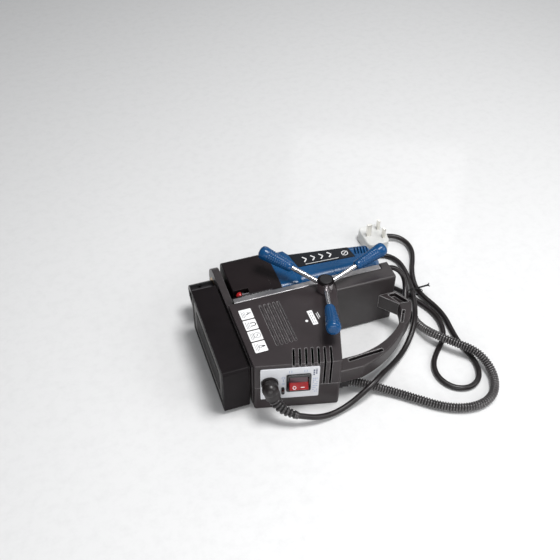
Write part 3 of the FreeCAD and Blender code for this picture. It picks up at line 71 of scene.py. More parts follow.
class Net:
    """A material's nodes, with short calls for the few kinds that are used here."""

    def __init__(self, name):
        self.material = bpy.data.materials.new(name)
        self.material.use_nodes = True
        self.tree = self.material.node_tree
        self.shader = self.tree.nodes["Principled BSDF"]
        self.place = self.new("ShaderNodeTexCoord").outputs["Object"]

    def new(self, kind, **values):
        node = self.tree.nodes.new(kind)
        for key, value in values.items():
            setattr(node, key, value)
        return node

    def link(self, source, target):
        self.tree.links.new(source, target)

    def stretched(self, scale):
        node = self.new("ShaderNodeMapping")
        node.inputs["Scale"].default_value = scale
        self.link(self.place, node.inputs["Vector"])
        return node.outputs["Vector"]

    def noise(self, scale, detail=3.0, stretch=None, roughness=0.5):
        node = self.new("ShaderNodeTexNoise")
        node.inputs["Scale"].default_value = scale
        node.inputs["Detail"].default_value = detail
        node.inputs["Roughness"].default_value = roughness
        self.link(self.stretched(stretch) if stretch else self.place, node.inputs["Vector"])
        return node.outputs["Fac"]

    def cells(self, scale):
        node = self.new("ShaderNodeTexVoronoi", feature="F1")
        node.inputs["Scale"].default_value = scale
        self.link(self.place, node.inputs["Vector"])
        return node.outputs["Distance"]

    def ramp(self, value, low, high, out_low=0.0, out_high=1.0):
        """Maps low to high onto out_low to out_high, and holds the ends."""
        node = self.new("ShaderNodeMapRange")
        for key, number in (("From Min", low), ("From Max", high),
                            ("To Min", out_low), ("To Max", out_high)):
            node.inputs[key].default_value = number
        self.link(value, node.inputs["Value"])
        return node.outputs["Result"]

    def spread(self, value, low, high):
        """Spreads a noise, which lies mostly between 0.3 and 0.7, from low to high."""
        return self.ramp(value, 0.3, 0.7, low, high)

    def times(self, a, b):
        """The product of a socket and a socket or number."""
        node = self.new("ShaderNodeMath", operation="MULTIPLY")
        self.link(a, node.inputs[0])
        if isinstance(b, bpy.types.NodeSocket):
            self.link(b, node.inputs[1])
        else:
            node.inputs[1].default_value = b
        return node.outputs["Value"]

    def mix(self, factor, a, b):
        """Colour a where factor is 0 and b where it is 1, each a socket or three numbers."""
        node = self.new("ShaderNodeMix", data_type="RGBA")
        self.link(factor, node.inputs["Factor"])
        for socket, value in ((node.inputs[COLOR_A], a), (node.inputs[COLOR_B], b)):
            if isinstance(value, bpy.types.NodeSocket):
                self.link(value, socket)
            else:
                socket.default_value = (*value, 1.0)
        return node.outputs[COLOR_RESULT]

    def above(self, level, blur):
        """1 above a height and 0 below it, with a soft step blur wide to each side."""
        split = self.new("ShaderNodeSeparateXYZ")
        self.link(self.place, split.inputs[0])
        return self.ramp(split.outputs["Z"], level - blur, level + blur)

    def edges(self, radius):
        """How far a point is rounded over an edge of the mesh, and the rounded normal."""
        bevel = self.new("ShaderNodeBevel", samples=6)
        bevel.inputs["Radius"].default_value = radius
        straight = self.new("ShaderNodeNewGeometry")
        dot = self.new("ShaderNodeVectorMath", operation="DOT_PRODUCT")
        self.link(bevel.outputs["Normal"], dot.inputs[0])
        self.link(straight.outputs["Normal"], dot.inputs[1])
        return self.ramp(dot.outputs["Value"], 0.995, 0.80), bevel.outputs["Normal"]

    def bumps(self, heights, normal=None):
        """Chains (height, distance) bumps and feeds them to the shader."""
        for height, distance in heights:
            bump = self.new("ShaderNodeBump")
            bump.inputs["Distance"].default_value = distance
            bump.inputs["Strength"].default_value = 1.0
            self.link(height, bump.inputs["Height"])
            if normal is not None:
                self.link(normal, bump.inputs["Normal"])
            normal = bump.outputs["Normal"]
        self.link(normal, self.shader.inputs["Normal"])

    def finish(self, color, rough, metallic=0.0, coat=0.0, specular=0.5):
        self.link(color, self.shader.inputs["Base Color"])
        self.link(rough, self.shader.inputs["Roughness"])
        self.shader.inputs["Metallic"].default_value = metallic
        self.shader.inputs["Coat Weight"].default_value = coat
        self.shader.inputs["Coat Roughness"].default_value = 0.08
        self.shader.inputs["Specular IOR Level"].default_value = specular
        return self.material


def clamped(value, low, high):
    return max(low, min(high, value))


def scaled(color, factor):
    return tuple(min(1.0, c * factor) for c in color)


LINE_LONG, LINE_FINE = 60.0, 2600.0     # a machined line's noise scale along it and across it


def moulding(name, color, rough, grain, depth=0.05, edge_lift=0.0, coat=0.0, edge=0.6, specular=0.36,
             rub_and_highlight=0.02):
    """Grained moulded plastic: colour drift, pebbled grain, edges lighter by wear and painted
    highlight.

    grain, depth and edge are the pebbles' size and height and the edges' rounding in millimetres,
    the edge lift is how far an edge turns lighter, and the last argument how much lighter it gets.
    """
    net = Net(name)
    near_edge, normal = net.edges(edge * MM)
    drift = net.noise(26.0, 4.0)
    smudge = net.noise(9.0, 5.0, roughness=0.65)
    pebbles = net.cells(1.0 / (grain * MM))
    base = net.mix(net.ramp(drift, 0.35, 0.65), scaled(color, 0.86), scaled(color, 1.14))
    patchy = net.times(near_edge, net.ramp(net.noise(160.0, 3.0), 0.35, 0.7, 0.45, 1.0))
    # painted highlight, partly rubbed wear: near the edges the colour turns lighter
    lighter = tuple(c * 1.9 + rub_and_highlight for c in color)
    base = net.mix(net.times(patchy, edge_lift), base, lighter)
    net.bumps([(pebbles, depth * MM), (net.noise(420.0, 2.0), 0.03 * MM)], normal)
    return net.finish(base, net.spread(smudge, rough - 0.05, rough + 0.07), coat=coat,
                      specular=specular)


def painted(name, color, rough, edge_lift, peel, specular, edge=0.7):
    """Paint over metal: orange peel (millimetres), dust, bare metal on the sharpest edges."""
    net = Net(name)
    near_edge, normal = net.edges(edge * MM)
    drift = net.noise(30.0, 4.0)
    base = net.mix(net.ramp(drift, 0.35, 0.65), scaled(color, 0.85), scaled(color, 1.15))
    chips = net.times(net.ramp(near_edge, 0.45, 0.9), net.ramp(net.noise(240.0, 4.0), 0.5, 0.62))
    base = net.mix(net.times(chips, edge_lift), base, (0.30, 0.30, 0.31))
    dust = net.noise(14.0, 5.0, roughness=0.7)
    net.bumps([(net.noise(700.0, 2.0), peel * MM), (net.noise(130.0, 2.0), 0.06 * MM)], normal)
    return net.finish(base, net.spread(dust, rough - 0.06, rough + 0.08), specular=specular)


def machined(name, color, rough, along, marks=0.5):
    """Ground or turned metal: fine lines along one axis, faint stains."""
    net = Net(name)
    near_edge, normal = net.edges(0.35 * MM)
    lines = net.noise(1.0, 3.0, [LINE_LONG if axis == along else LINE_FINE for axis in "xyz"])
    stains = net.noise(45.0, 5.0, roughness=0.7)
    base = net.mix(net.ramp(stains, 0.42, 0.7), color, scaled(color, 0.72))
    base = net.mix(net.times(net.ramp(lines, 0.35, 0.65), 0.35 * marks), base,
                   scaled(color, 0.55))
    base = net.mix(net.times(near_edge, 0.5), base, scaled(color, 1.35))
    net.bumps([(lines, 0.02 * MM)], normal)
    return net.finish(base, net.spread(lines, rough - 0.08, rough + 0.14), metallic=1.0)


def polished(name, color, rough):
    """Plated or polished metal: an even shine with faint smudges."""
    net = Net(name)
    normal = net.edges(0.4 * MM)[1]
    smudge = net.noise(60.0, 5.0, roughness=0.7)
    base = net.mix(net.ramp(smudge, 0.4, 0.75), color, scaled(color, 0.82))
    net.bumps([(net.noise(220.0, 2.0), 0.004 * MM)], normal)
    return net.finish(base, net.spread(smudge, rough - 0.03, rough + 0.07), metallic=1.0)


def rubber(name, color, rough, specular=0.5):
    """Soft black plastic or rubber: slight dust and faint drag marks."""
    net = Net(name)
    dust = net.noise(70.0, 5.0, roughness=0.7)
    base = net.mix(net.ramp(dust, 0.45, 0.75), color, tuple(c * 1.8 + 0.006 for c in color))
    drag = net.noise(25.0, 4.0)
    net.bumps([(net.noise(900.0, 2.0), 0.03 * MM)])
    return net.finish(base, net.spread(drag, rough - 0.06, rough + 0.08), specular=specular)


def printed(name, color, rough=0.35, coat=0.2, specular=0.5):
    """Printed film: even colour with a trace of handling."""
    net = Net(name)
    smudge = net.noise(60.0, 5.0, roughness=0.7)
    base = net.mix(net.ramp(smudge, 0.45, 0.8), color, scaled(color, 0.93))
    net.bumps([(net.noise(300.0, 2.0), 0.01 * MM)])
    return net.finish(base, net.spread(smudge, rough - 0.05, rough + 0.1), coat=coat,
                      specular=specular)


def rocker_painted_shade_and_glow(name, ridge):
    """Glossy red rocker: a faint painted glow below its ridge, and painted shade, a dark smoky
    colour, above it.
    """
    net = Net(name)
    upper = net.above(ridge, 0.4 * MM)
    red_tone = net.mix(net.spread(net.noise(120.0), 0.0, 1.0), (0.20, 0.0015, 0.003),
                   (0.34, 0.005, 0.008))
    # painted shade: the half above the ridge, tilted in, gets a dark colour in place of its shade
    base = net.mix(upper, red_tone, (0.060, 0.022, 0.030))
    net.bumps([(net.noise(500.0, 2.0), 0.01 * MM)])
    # painted glow: the red half below the ridge gives off faint red light, though it holds no lamp
    net.shader.inputs["Emission Color"].default_value = (0.6, 0.0, 0.0, 1.0)
    painted_glow_strength = net.ramp(upper, 0.0, 1.0, 0.06, 0.0)
    net.link(painted_glow_strength, net.shader.inputs["Emission Strength"])
    return net.finish(base, net.spread(net.noise(80.0), 0.10, 0.2), coat=0.35)


def hub_metal(name, shoulder):
    """Turned hub: bare polished steel up to its upper edge, blackened above it."""
    net = Net(name)
    near_edge, normal = net.edges(0.5 * MM)
    black = net.above(shoulder, 0.15 * MM)
    lines = net.noise(1.0, 3.0, (LINE_LONG, LINE_LONG, LINE_FINE))
    steel = net.mix(net.ramp(lines, 0.35, 0.65), (0.74, 0.70, 0.71), (0.58, 0.55, 0.56))
    dark = net.mix(near_edge, (0.030, 0.026, 0.028), (0.16, 0.15, 0.15))
    net.bumps([(lines, 0.006 * MM)], normal)
    return net.finish(net.mix(black, steel, dark), net.spread(lines, 0.16, 0.26), metallic=1.0)


finishes = {
    # cover and handle: their strongly lighter edges are mostly a painted highlight, partly rubbed
    # wear
    "cover_plastic": moulding("cover_moulding", (0.0250, 0.0182, 0.0198), 0.41, grain=0.8, edge_lift=1.0,
                              edge=1.5, specular=0.42, rub_and_highlight=0.45),
    "handle_plastic": moulding("handle_moulding", (0.0240, 0.0180, 0.0190), 0.38, grain=1.0,
                               depth=0.07, edge_lift=1.0, edge=2.0, specular=0.45, rub_and_highlight=0.62),
    "gloss_black": moulding("gloss_black_moulding", (0.006, 0.0055, 0.0062), 0.16, grain=1.4,
                            depth=0.01, edge_lift=0.3, coat=0.3),
    "matte_black": moulding("matte_black_moulding", (0.013, 0.012, 0.013), 0.55, grain=0.7,
                            edge_lift=0.2),
    "blue_plastic": moulding("motor_blue_moulding", (0.0008, 0.062, 0.180), 0.26, grain=1.1,
                             depth=0.02, edge_lift=0.2, coat=0.12, edge=1.4, specular=0.3),
    "grip_blue": moulding("grip_blue_moulding", (0.0018, 0.055, 0.165), 0.27, grain=1.2, depth=0.02,
                          edge_lift=0.1, coat=0.1),
    "red_cap": moulding("red_cap_moulding", (0.45, 0.010, 0.012), 0.25, grain=1.5, depth=0.02,
                        edge_lift=0.1, coat=0.3),
    "dark_lens": moulding("dark_lens_moulding", (0.05, 0.006, 0.006), 0.08, grain=1.5, depth=0.005,
                          coat=0.6),
    "white_plastic": moulding("white_moulding", (0.72, 0.72, 0.70), 0.32, grain=1.6, depth=0.01,
                              coat=0.1),
    "resin": moulding("pole_resin", (0.035, 0.030, 0.026), 0.3, grain=1.6, depth=0.02),
    "magnet_paint": painted("magnet_black_paint", (0.0075, 0.0056, 0.0064), 0.46, edge_lift=0.6,
                            peel=0.05, specular=0.10),
    "casting_paint": painted("casting_black_paint", (0.030, 0.0250, 0.0258), 0.34, edge_lift=0.35,
                             peel=0.09, specular=0.5, edge=2.2),
    "gearbox_paint": painted("gearbox_black_paint", (0.0115, 0.0078, 0.0086), 0.46, edge_lift=0.4,
                             peel=0.07, specular=0.14),
    "ground_x": machined("ground_steel_x", (0.46, 0.45, 0.46), 0.36, "x", marks=1.0),
    "ground_z": machined("turned_steel_z", (0.42, 0.42, 0.44), 0.28, "z"),
    "dark_steel": machined("blackened_steel", (0.045, 0.043, 0.046), 0.34, "z", marks=0.3),
    "bronze": machined("bearing_bronze", (0.46, 0.29, 0.12), 0.3, "z"),
    "copper": machined("copper_winding", (0.50, 0.20, 0.09), 0.4, "x"),
    "chrome": polished("polished_steel", (0.72, 0.71, 0.72), 0.12),
    "nickel": polished("nickel_plating", (0.90, 0.88, 0.83), 0.32),
    "cable": rubber("cable_rubber", (0.0095, 0.0070, 0.0075), 0.34, specular=0.45),
    "conduit": rubber("conduit_plastic", (0.060, 0.055, 0.056), 0.18, specular=0.9),
    "ribbed_rubber": rubber("ribbed_rubber", (0.024, 0.021, 0.022), 0.26, specular=0.7),
    # painted shade: a near-black finish laid in the valleys of ridged tubes
    "groove": rubber("groove_shadow", (0.0015, 0.0013, 0.0014), 0.7),
    "panel": printed("panel_film", (0.70, 0.71, 0.74)),
    "white_print": printed("white_film", (0.80, 0.80, 0.80)),
    "bright_print": printed("bright_white_film", (0.92, 0.92, 0.92)),
    "grey_print": printed("grey_ink", (0.30, 0.30, 0.31)),
    "black_print": printed("black_ink", (0.012, 0.012, 0.014)),
    "blue_print": printed("blue_ink", (0.30, 0.38, 0.56)),
    "navy_print": printed("navy_ink", (0.05, 0.07, 0.14)),
    "label_film": printed("black_label_film", (0.003, 0.0045, 0.008), 0.3, coat=0.0, specular=0.25),
    "scale_film": printed("scale_plate_film", (0.030, 0.028, 0.030), 0.4),
    "board": printed("board_lacquer", (0.02, 0.12, 0.05), 0.3),
}

by_slot = {
    "magnet_paint": "magnet_paint", "stand_casting": "casting_paint",
    "cover_plastic": "cover_plastic", "grip_black": "handle_plastic",
    "machined_steel": "ground_x", "blackened_steel": "dark_steel", "bright_steel": "chrome",
    "bronze": "bronze", "copper_wire": "copper", "core_steel": "ground_x", "pole_resin": "resin",
    "panel_white": "panel", "switch_black": "gloss_black", "board_green": "board",
    "cable_rubber": "cable", "conduit_black": "matte_black", "plug_white": "white_plastic",
    "pin_nickel": "nickel", "tie_black": "matte_black", "gearbox_black": "gearbox_paint",
    "motor_blue": "blue_plastic", "label_black": "label_film", "scale_grey": "scale_film",
    "cap_red": "red_cap", "grip_blue": "grip_blue", "fan_plastic": "matte_black",
    "carbon": "matte_black",
}


def dress(obj, material):
    obj.data.materials.clear()
    obj.data.materials.append(material)


for part in frame["record"]["subparts"]:
    if part["material_slot"] in by_slot:
        dress(NODES[part["node"]], finishes[by_slot[part["material_slot"]]])
HUB_SHOULDER = 107.6 * MM           # the height of the hub's upper edge
RIDGE_OVER_AXLE = 1.0 * MM          # the rocker's ridge, over the middle of its bezel, at rest, where its painted shade begins
bezel_low, bezel_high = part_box("switch_bezel")
# the rocker gets painted shade above its ridge and a painted glow below it
dress(NODES["switch_rocker"],
      rocker_painted_shade_and_glow("rocker_painted_shade_and_glow", (bezel_low.z + bezel_high.z) / 2 + RIDGE_OVER_AXLE))
dress(NODES["capstan_hub"], hub_metal("hub_metal", HUB_SHOULDER))
dress(NODES["hub_cap"], finishes["matte_black"])
dress(NODES["pinion_shaft"], finishes["ground_z"])
dress(NODES["arbor"], finishes["dark_steel"])


# ---------------------------------------------------------------- mesh helpers
def mesh_piece(name, verts, faces, body, finish, smooth=False):
    data = bpy.data.meshes.new(name)
    data.from_pydata([tuple(v) for v in verts], [], faces)
    data.validate()
    piece = bpy.data.objects.new(name, data)
    bpy.context.scene.collection.objects.link(piece)
    for polygon in data.polygons:
        polygon.use_smooth = smooth
    dress(piece, finishes[finish] if isinstance(finish, str) else finish)
    if body:
        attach(piece, body)
    return piece


class Print:
    """Thin flat shapes laid on one surface and gathered into one piece.

    place turns (along, across, height over the surface) in millimetres into a point, and every
    outline runs anticlockwise as seen from outside.
    """

    def __init__(self, place, low, high):
        self.place, self.low, self.high = place, low, high
        self.verts, self.faces = [], []

    def slab(self, loop):
        start, count = len(self.verts), len(loop)
        for height in (self.low, self.high):
            self.verts += [self.place(p, q, height) for p, q in loop]
        self.faces.append(tuple(start + i for i in reversed(range(count))))
        self.faces.append(tuple(start + count + i for i in range(count)))
        for i in range(count):
            j = (i + 1) % count
            self.faces.append((start + i, start + j, start + count + j, start + count + i))

    def bar(self, a, b, width):
        run = Vector((b[0] - a[0], b[1] - a[1]))
        side = Vector((-run.y, run.x)).normalized() * (width / 2)
        self.slab([(a[0] - side.x, a[1] - side.y), (b[0] - side.x, b[1] - side.y),
                   (b[0] + side.x, b[1] + side.y), (a[0] + side.x, a[1] + side.y)])

    def line(self, points, width):
        for a, b in zip(points, points[1:]):
            self.bar(a, b, width)

    def disc(self, centre, radius):
        self.slab(circle(centre, radius, 20))

    def ring(self, centre, radius, width, start=0.0, stop=360.0):
        degrees_a_step = 18
        steps = round(abs(stop - start) / degrees_a_step)
        self.line(arc(centre, radius, start, stop, steps), width)

    def make(self, name, body, finish):
        return mesh_piece(name, self.verts, self.faces, body, finish)


def arc(centre, radius, start, stop, steps):
    """Points along an arc, its angles in degrees."""
    angles = [math.radians(start + (stop - start) * i / steps) for i in range(steps + 1)]
    return [(centre[0] + radius * math.cos(a), centre[1] + radius * math.sin(a)) for a in angles]


def circle(centre, radius, steps):
    return arc(centre, radius, 0, 360 - 360 / steps, steps - 1)


def rounded(x0, x1, y0, y1, radius):
    """Anticlockwise rounded rectangle."""
    loop = []
    for centre, turn in (((x1 - radius, y0 + radius), 270), ((x1 - radius, y1 - radius), 0),
                         ((x0 + radius, y1 - radius), 90), ((x0 + radius, y0 + radius), 180)):
        loop += arc(centre, radius, turn, turn + 90, 4)
    return loop


def skin(rings, sides):
    """Faces over a stack of rings of points, row by row, and then a cap at each end."""
    faces = []
    for i in range(rings - 1):
        for k in range(sides):
            j = (k + 1) % sides
            faces.append((i * sides + k, i * sides + j, (i + 1) * sides + j, (i + 1) * sides + k))
    return faces + [tuple(reversed(range(sides))),
                    tuple((rings - 1) * sides + k for k in range(sides))]


def tube_mesh(name, path, radii, sides, body, finish, grooves=()):
    """Closed tube along a path, with one radius for each point, that twists as little as it can.

    The surface from each listed step to the next one gets painted shade, a near-black finish.
    """
    count = len(path)
    tangents = [(path[min(i + 1, count - 1)] - path[max(i - 1, 0)]).normalized()
                for i in range(count)]
    normal = tangents[0].orthogonal().normalized()
    verts = []
    for i in range(count):
        if i:
            normal = (tangents[i - 1].rotation_difference(tangents[i]) @ normal).normalized()
        across = tangents[i].cross(normal).normalized()
        for k in range(sides):
            a = 2 * math.pi * k / sides
            verts.append(path[i] + (normal * math.cos(a) + across * math.sin(a)) * radii[i])
    piece = mesh_piece(name, verts, skin(count, sides), body, finish, True)
    if grooves:
        piece.data.materials.append(finishes["groove"])
        for i in grooves:
            for k in range(sides if i < count - 1 else 0):
                piece.data.polygons[i * sides + k].material_index = 1
    return piece


# ---------------------------------------------------------------- cords
CORD_RADIUS = 4.0 * MM
CONDUIT_RADIUS = 6.5 * MM
RIDGE_PITCH = 3.8 * MM
RIDGE_HALF = 0.8 * MM               # half a ridge's height
STEPS_PER_RIDGE = 6
SHADED_VALLEY_STEPS = (1, 2, 3)            # the steps of each ridge that lie in its valley and get painted shade
COLLAR_STEPS, COLLAR_PLAIN = 18, 11     # the end collar's steps, and those before it narrows
COLLAR_RADIUS, COLLAR_TAPER = 7.4 * MM, 0.35 * MM
CABLE_STEP = 2.5 * MM

# Each route's points are counted as "at" does.
cord_route = [
    (88, -46.6, 20), (103, -50.6, 15), (118, -52, 10.5), (134, -51, 7.5), (150, -47.8, 7),
    (167, -43.5, 10), (185, -38.5, 17), (203, -32, 23), (222, -20, 23), (242, -6, 14), (264, 10, 7),
    (284, 26, 8), (301, 43, 15), (314, 62, 21), (324, 83, 21), (333, 104, 17), (342, 128, 11),
    (350, 152, 4.5), (354, 174, 4), (354, 196, 4), (344, 215, 4), (323, 222, 4), (303, 212, 4),
    (294, 191, 4), (301, 168, 4), (315, 149, 4), (327, 131, 6), (338, 112, 6), (349, 92, 4),
    (356, 68, 4), (354, 44, 4), (343, 22, 4), (322, 4, 4), (306, -16, 4), (302, -40, 4),
    (314, -62, 4), (336, -70, 4), (357, -60, 4), (367, -38, 4), (366, -12, 4), (362, 12, 4),
    (364, 38, 4), (367, 64, 4), (363, 89, 4), (354, 110, 6), (352, 132, 6), (358, 153, 4),
    (366, 174, 4), (377, 193, 4.5), (385, 211, 5), (386.5, 229, 6), (380, 243, 8), (369, 251.5, 9.8),
    (357, 254, 10.5)]
conduit_route = [
    (174.4, -13.1, 18), (193, -20.5, 14.5), (214, -32, 9), (236, -47.5, 7), (259, -67, 6.8),
    (282, -86, 6.8), (308, -99, 6.8), (335, -102, 6.8), (359, -93, 6.8), (374, -73, 6.8),
    (379, -50, 9.5), (374, -30, 15.5), (362, -14, 19.5), (349, -1.5, 19.5), (336, 13.5, 19.5),
    (325, 30, 17), (320, 48, 11.5), (318, 66, 7.8), (318, 81, 7)]
motor_cable_route = [
    (298, 152, 45), (312, 152, 45), (324, 147.5, 40), (331, 139, 31), (329.5, 127, 20.5),
    (322, 111.5, 12), (318.5, 96, 8.5), (318, 82.4, 7.1)]


def nurbs(name, route, bevel=0.0):
    data = bpy.data.curves.new(name, "CURVE")
    data.dimensions = "3D"
    data.resolution_u = 10
    data.bevel_depth = bevel
    data.bevel_resolution = 6
    data.use_fill_caps = bevel > 0
    spline = data.splines.new("NURBS")
    spline.points.add(len(route) - 1)
    for point, place in zip(spline.points, route):
        point.co = (*at(*place), 1.0)
    spline.order_u = 3
    spline.use_endpoint_u = True
    piece = bpy.data.objects.new(name, data)
    bpy.context.scene.collection.objects.link(piece)
    return piece


def spline_points(route):
    """Points along a route's own NURBS line."""
    guide = nurbs("guide", route)
    mesh = bpy.data.meshes.new_from_object(guide)
    points = [v.co.copy() for v in mesh.vertices]
    curve = guide.data
    bpy.data.objects.remove(guide)
    bpy.data.curves.remove(curve)
    bpy.data.meshes.remove(mesh)
    return points


def length_of(points):
    return sum((b - a).length for a, b in zip(points, points[1:]))


def evenly(points, step):
    """Points at even distances along a polyline, and its length."""
    total = length_of(points)
    count = max(2, round(total / step))
    result, travelled, index = [points[0].copy()], 0.0, 0
    for k in range(1, count):
        target = total * k / count
        while travelled + (points[index + 1] - points[index]).length < target:
            travelled += (points[index + 1] - points[index]).length
            index += 1
        run = points[index + 1] - points[index]
        result.append(points[index] + run * ((target - travelled) / run.length))
    result.append(points[-1].copy())
    return result, total


cord = nurbs("mains_lead", cord_route, CORD_RADIUS)
cord.data.materials.append(finishes["cable"])
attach(cord, "stand")
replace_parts(cord, "power_cord")
length_of(spline_points(cord_route))

ridge_line, conduit_length = evenly(spline_points(conduit_route), RIDGE_PITCH / STEPS_PER_RIDGE)
ridge_radii = []
for i in range(len(ridge_line)):
    swell = clamped(1.6 * math.cos(2 * math.pi * i / STEPS_PER_RIDGE), -1.0, 0.9)
    ridge_radii.append(CONDUIT_RADIUS - RIDGE_HALF + RIDGE_HALF * swell)
# painted shade on the valleys between the conduit's ridges
shaded_valleys = [i for i in range(len(ridge_line)) if i % STEPS_PER_RIDGE in SHADED_VALLEY_STEPS]
conduit = tube_mesh("corrugated_conduit", ridge_line, ridge_radii, 20, "stand", "conduit",
                    shaded_valleys)
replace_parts(conduit, "motor_conduit")
collar_radii = [COLLAR_RADIUS - COLLAR_TAPER * max(0, i - COLLAR_PLAIN)
                for i in range(COLLAR_STEPS)]
collar = tube_mesh("conduit_end_collar", ridge_line[-COLLAR_STEPS:], collar_radii, 24, "stand",
                   "matte_black")

cable_line, cable_length = evenly(spline_points(motor_cable_route), CABLE_STEP)
cable = tube_mesh("smooth_motor_cable", cable_line, [CORD_RADIUS] * len(cable_line), 20, None,
                  "cable")
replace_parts(cable, "motor_cable")
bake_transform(cable)

# ---------------------------------------------------------------- ribbed strain relief
relief_route = [
    (60.5, -24, 45), (63.5, -29.5, 36), (69.5, -36, 29), (78, -42, 24), (88, -46.6, 20)]
RELIEF_WIDE, RELIEF_NARROW = 9.4, 5.6       # its radius at the panel and at the cord
RELIEF_RIBS = 8
RELIEF_STEP = 0.5 * MM
RELIEF_COLLAR = 0.93                # the share of its length where its plain end starts
RELIEF_COLLAR_DEPTH = 0.6           # of the plain end, under the ribs' tops
RELIEF_SHADE_DEPTH = 1.6             # under the ribs' tops, from where a groove gets painted shade
relief_line = evenly(spline_points(relief_route), RELIEF_STEP)[0]
relief_radii = []
relief_grooves = []
for i in range(len(relief_line)):
    along = i / (len(relief_line) - 1)
    wave = math.cos(2 * math.pi * RELIEF_RIBS * (along - 0.02))
    outer = RELIEF_WIDE + (RELIEF_NARROW - RELIEF_WIDE) * along ** 0.8
    depth = RELIEF_COLLAR_DEPTH if along > RELIEF_COLLAR else 1.0 - clamped(2.2 * wave, -1.0, 0.8)
    relief_radii.append((outer - depth) * MM)
    # painted shade in the deeper part of each groove between the ribs
    if depth > RELIEF_SHADE_DEPTH:
        relief_grooves.append(i)
relief = tube_mesh("ribbed_strain_relief", relief_line, relief_radii, 32, "stand", "ribbed_rubber",
                   relief_grooves)
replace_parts(relief, "cord_strain_relief")


# ---------------------------------------------------------------- feed handle grips
SPOKES_MEET = Vector((179.5, 98.0, 97.6))   # the point on the pinion's axis where they meet
SPOKE_ANGLES = (254.0, 14.0, 134.0)
SPOKE_TILT = math.radians(12.0)
GRIP_FROM = 54.0
GRIP_PROFILE = ((0.0, 6.2), (3.0, 7.2), (5.0, 7.2), (40.0, 9.8), (44.0, 10.3), (48.0, 9.9),
                (50.5, 8.6), (52.0, 6.0))       # (distance from the grip's foot, radius)
GRIP_LENGTH = GRIP_PROFILE[-1][0]
GRIP_RINGS = round(GRIP_LENGTH / 0.65)
PADS_FROM, PADS_TO = 6.0, 39.0
PAD_PITCH = 3.3
PADS_ROUND = 16
PAD_HALF = 0.35                     # half a pad's height
SIDES_PER_PAD = 5


def grip_radius(t):
    """Radius of the grip's plain shape at a distance from its foot."""
    for (t0, r0), (t1, r1) in zip(GRIP_PROFILE, GRIP_PROFILE[1:]):
        if t <= t1:
            break
    return r0 + (r1 - r0) * (t - t0) / (t1 - t0)


def feed_grip(name, angle):
    """Tapered grip with rows of raised pads and a plain band at its free end."""
    flat = Vector((math.cos(math.radians(angle)), math.sin(math.radians(angle)), 0.0))
    along = flat * math.cos(SPOKE_TILT) + Vector((0.0, 0.0, math.sin(SPOKE_TILT)))
    side = Vector((-flat.y, flat.x, 0.0))
    over = along.cross(side)
    sides = PADS_ROUND * SIDES_PER_PAD
    verts = []
    for i in range(GRIP_RINGS + 1):
        t = GRIP_LENGTH * i / GRIP_RINGS
        padded = PADS_FROM < t < PADS_TO
        row = clamped(0.5 + 1.2 * math.cos(2 * math.pi * (t - PADS_FROM) / PAD_PITCH), 0.0, 1.0)
        for k in range(sides):
            a = 2 * math.pi * k / sides
            pad = row * clamped(0.4 + 1.1 * math.cos(PADS_ROUND * a), 0.0, 1.0)
            radius = grip_radius(t) + (PAD_HALF * (2 * pad - 1) if padded else 0.0)
            out = side * math.cos(a) + over * math.sin(a)
            verts.append(at(*(SPOKES_MEET + along * (GRIP_FROM + t) + out * radius)))
    return mesh_piece(name, verts, skin(GRIP_RINGS + 1, sides), "capstan", "grip_blue",
                      True)


for number, spoke in enumerate(SPOKE_ANGLES, 1):
    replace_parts(feed_grip("feed_grip_%d" % number, spoke), "feed_handle_grips")


# ---------------------------------------------------------------- prints on the left cover
SUNK = -0.02                        # how far every print reaches under its surface
INK, THICK_INK = 0.05, 0.06
FILM = 0.12
COVER_FACE = 90.0
TILE_WIDE, TILE_HIGH, TILE_CORNER = 17.6, 18.4, 1.2
TILE_FROM = 50.4
TILE_ROWS = (17.2, 37.6, 58.0, 78.4)
TILE_LINES = ((53.2, 3.0, 15.4), (55.2, 2.6, 13.2), (57.2, 4.0, 14.6))     # (x, from, to)
ICON_X = TILE_FROM + 11.6


def on_cover(x, y, height):
    return at(x, y, COVER_FACE + height)


tiles = Print(on_cover, SUNK, FILM)
icons = Print(on_cover, FILM + SUNK, FILM + INK)
lines = Print(on_cover, FILM + SUNK, FILM + INK)
for y in TILE_ROWS:
    tiles.slab(rounded(TILE_FROM, TILE_FROM + TILE_WIDE, y, y + TILE_HIGH, TILE_CORNER))
    for x, start, stop in TILE_LINES:
        lines.bar((x, y + start), (x, y + stop), 0.7)
drop_y, round_y, magnet_y, flash_y = [y + TILE_HIGH / 2 for y in TILE_ROWS]


def about(y, *points):
    """Points given from the middle of the icon at a height y."""
    return [(ICON_X + across, y + up) for across, up in points]


icons.slab(about(drop_y, (0.4, -1.6), (4.2, -0.9), (4.2, 0.9), (0.4, 1.6)))
lines.ring((ICON_X - 2.0, drop_y), 2.0, 1.0)
lines.ring((ICON_X, round_y), 4.6, 0.8)
lines.line(about(round_y, (-2.4, -2.2), (0.8, -0.6), (-0.6, 0.8), (2.4, 2.4)), 0.8)
for side in (-2.8, 2.8):
    icons.line(about(magnet_y, (-3.2, side), (1.4, side)), 1.3)
icons.ring((ICON_X + 1.4, magnet_y), 2.8, 1.3, -90, 90)
icons.line(about(flash_y, (-3.4, -1.4), (-0.2, -0.5), (0.2, 1.1), (4.0, 0.6)), 1.3)
icons.line(about(flash_y, (0.2, 1.1), (-1.4, 2.6)), 1.1)
tiles.make("picture_tiles", "stand", "bright_print")
icons.make("picture_tile_icons", "stand", "black_print")
lines.make("picture_tile_lines", "stand", "grey_print")

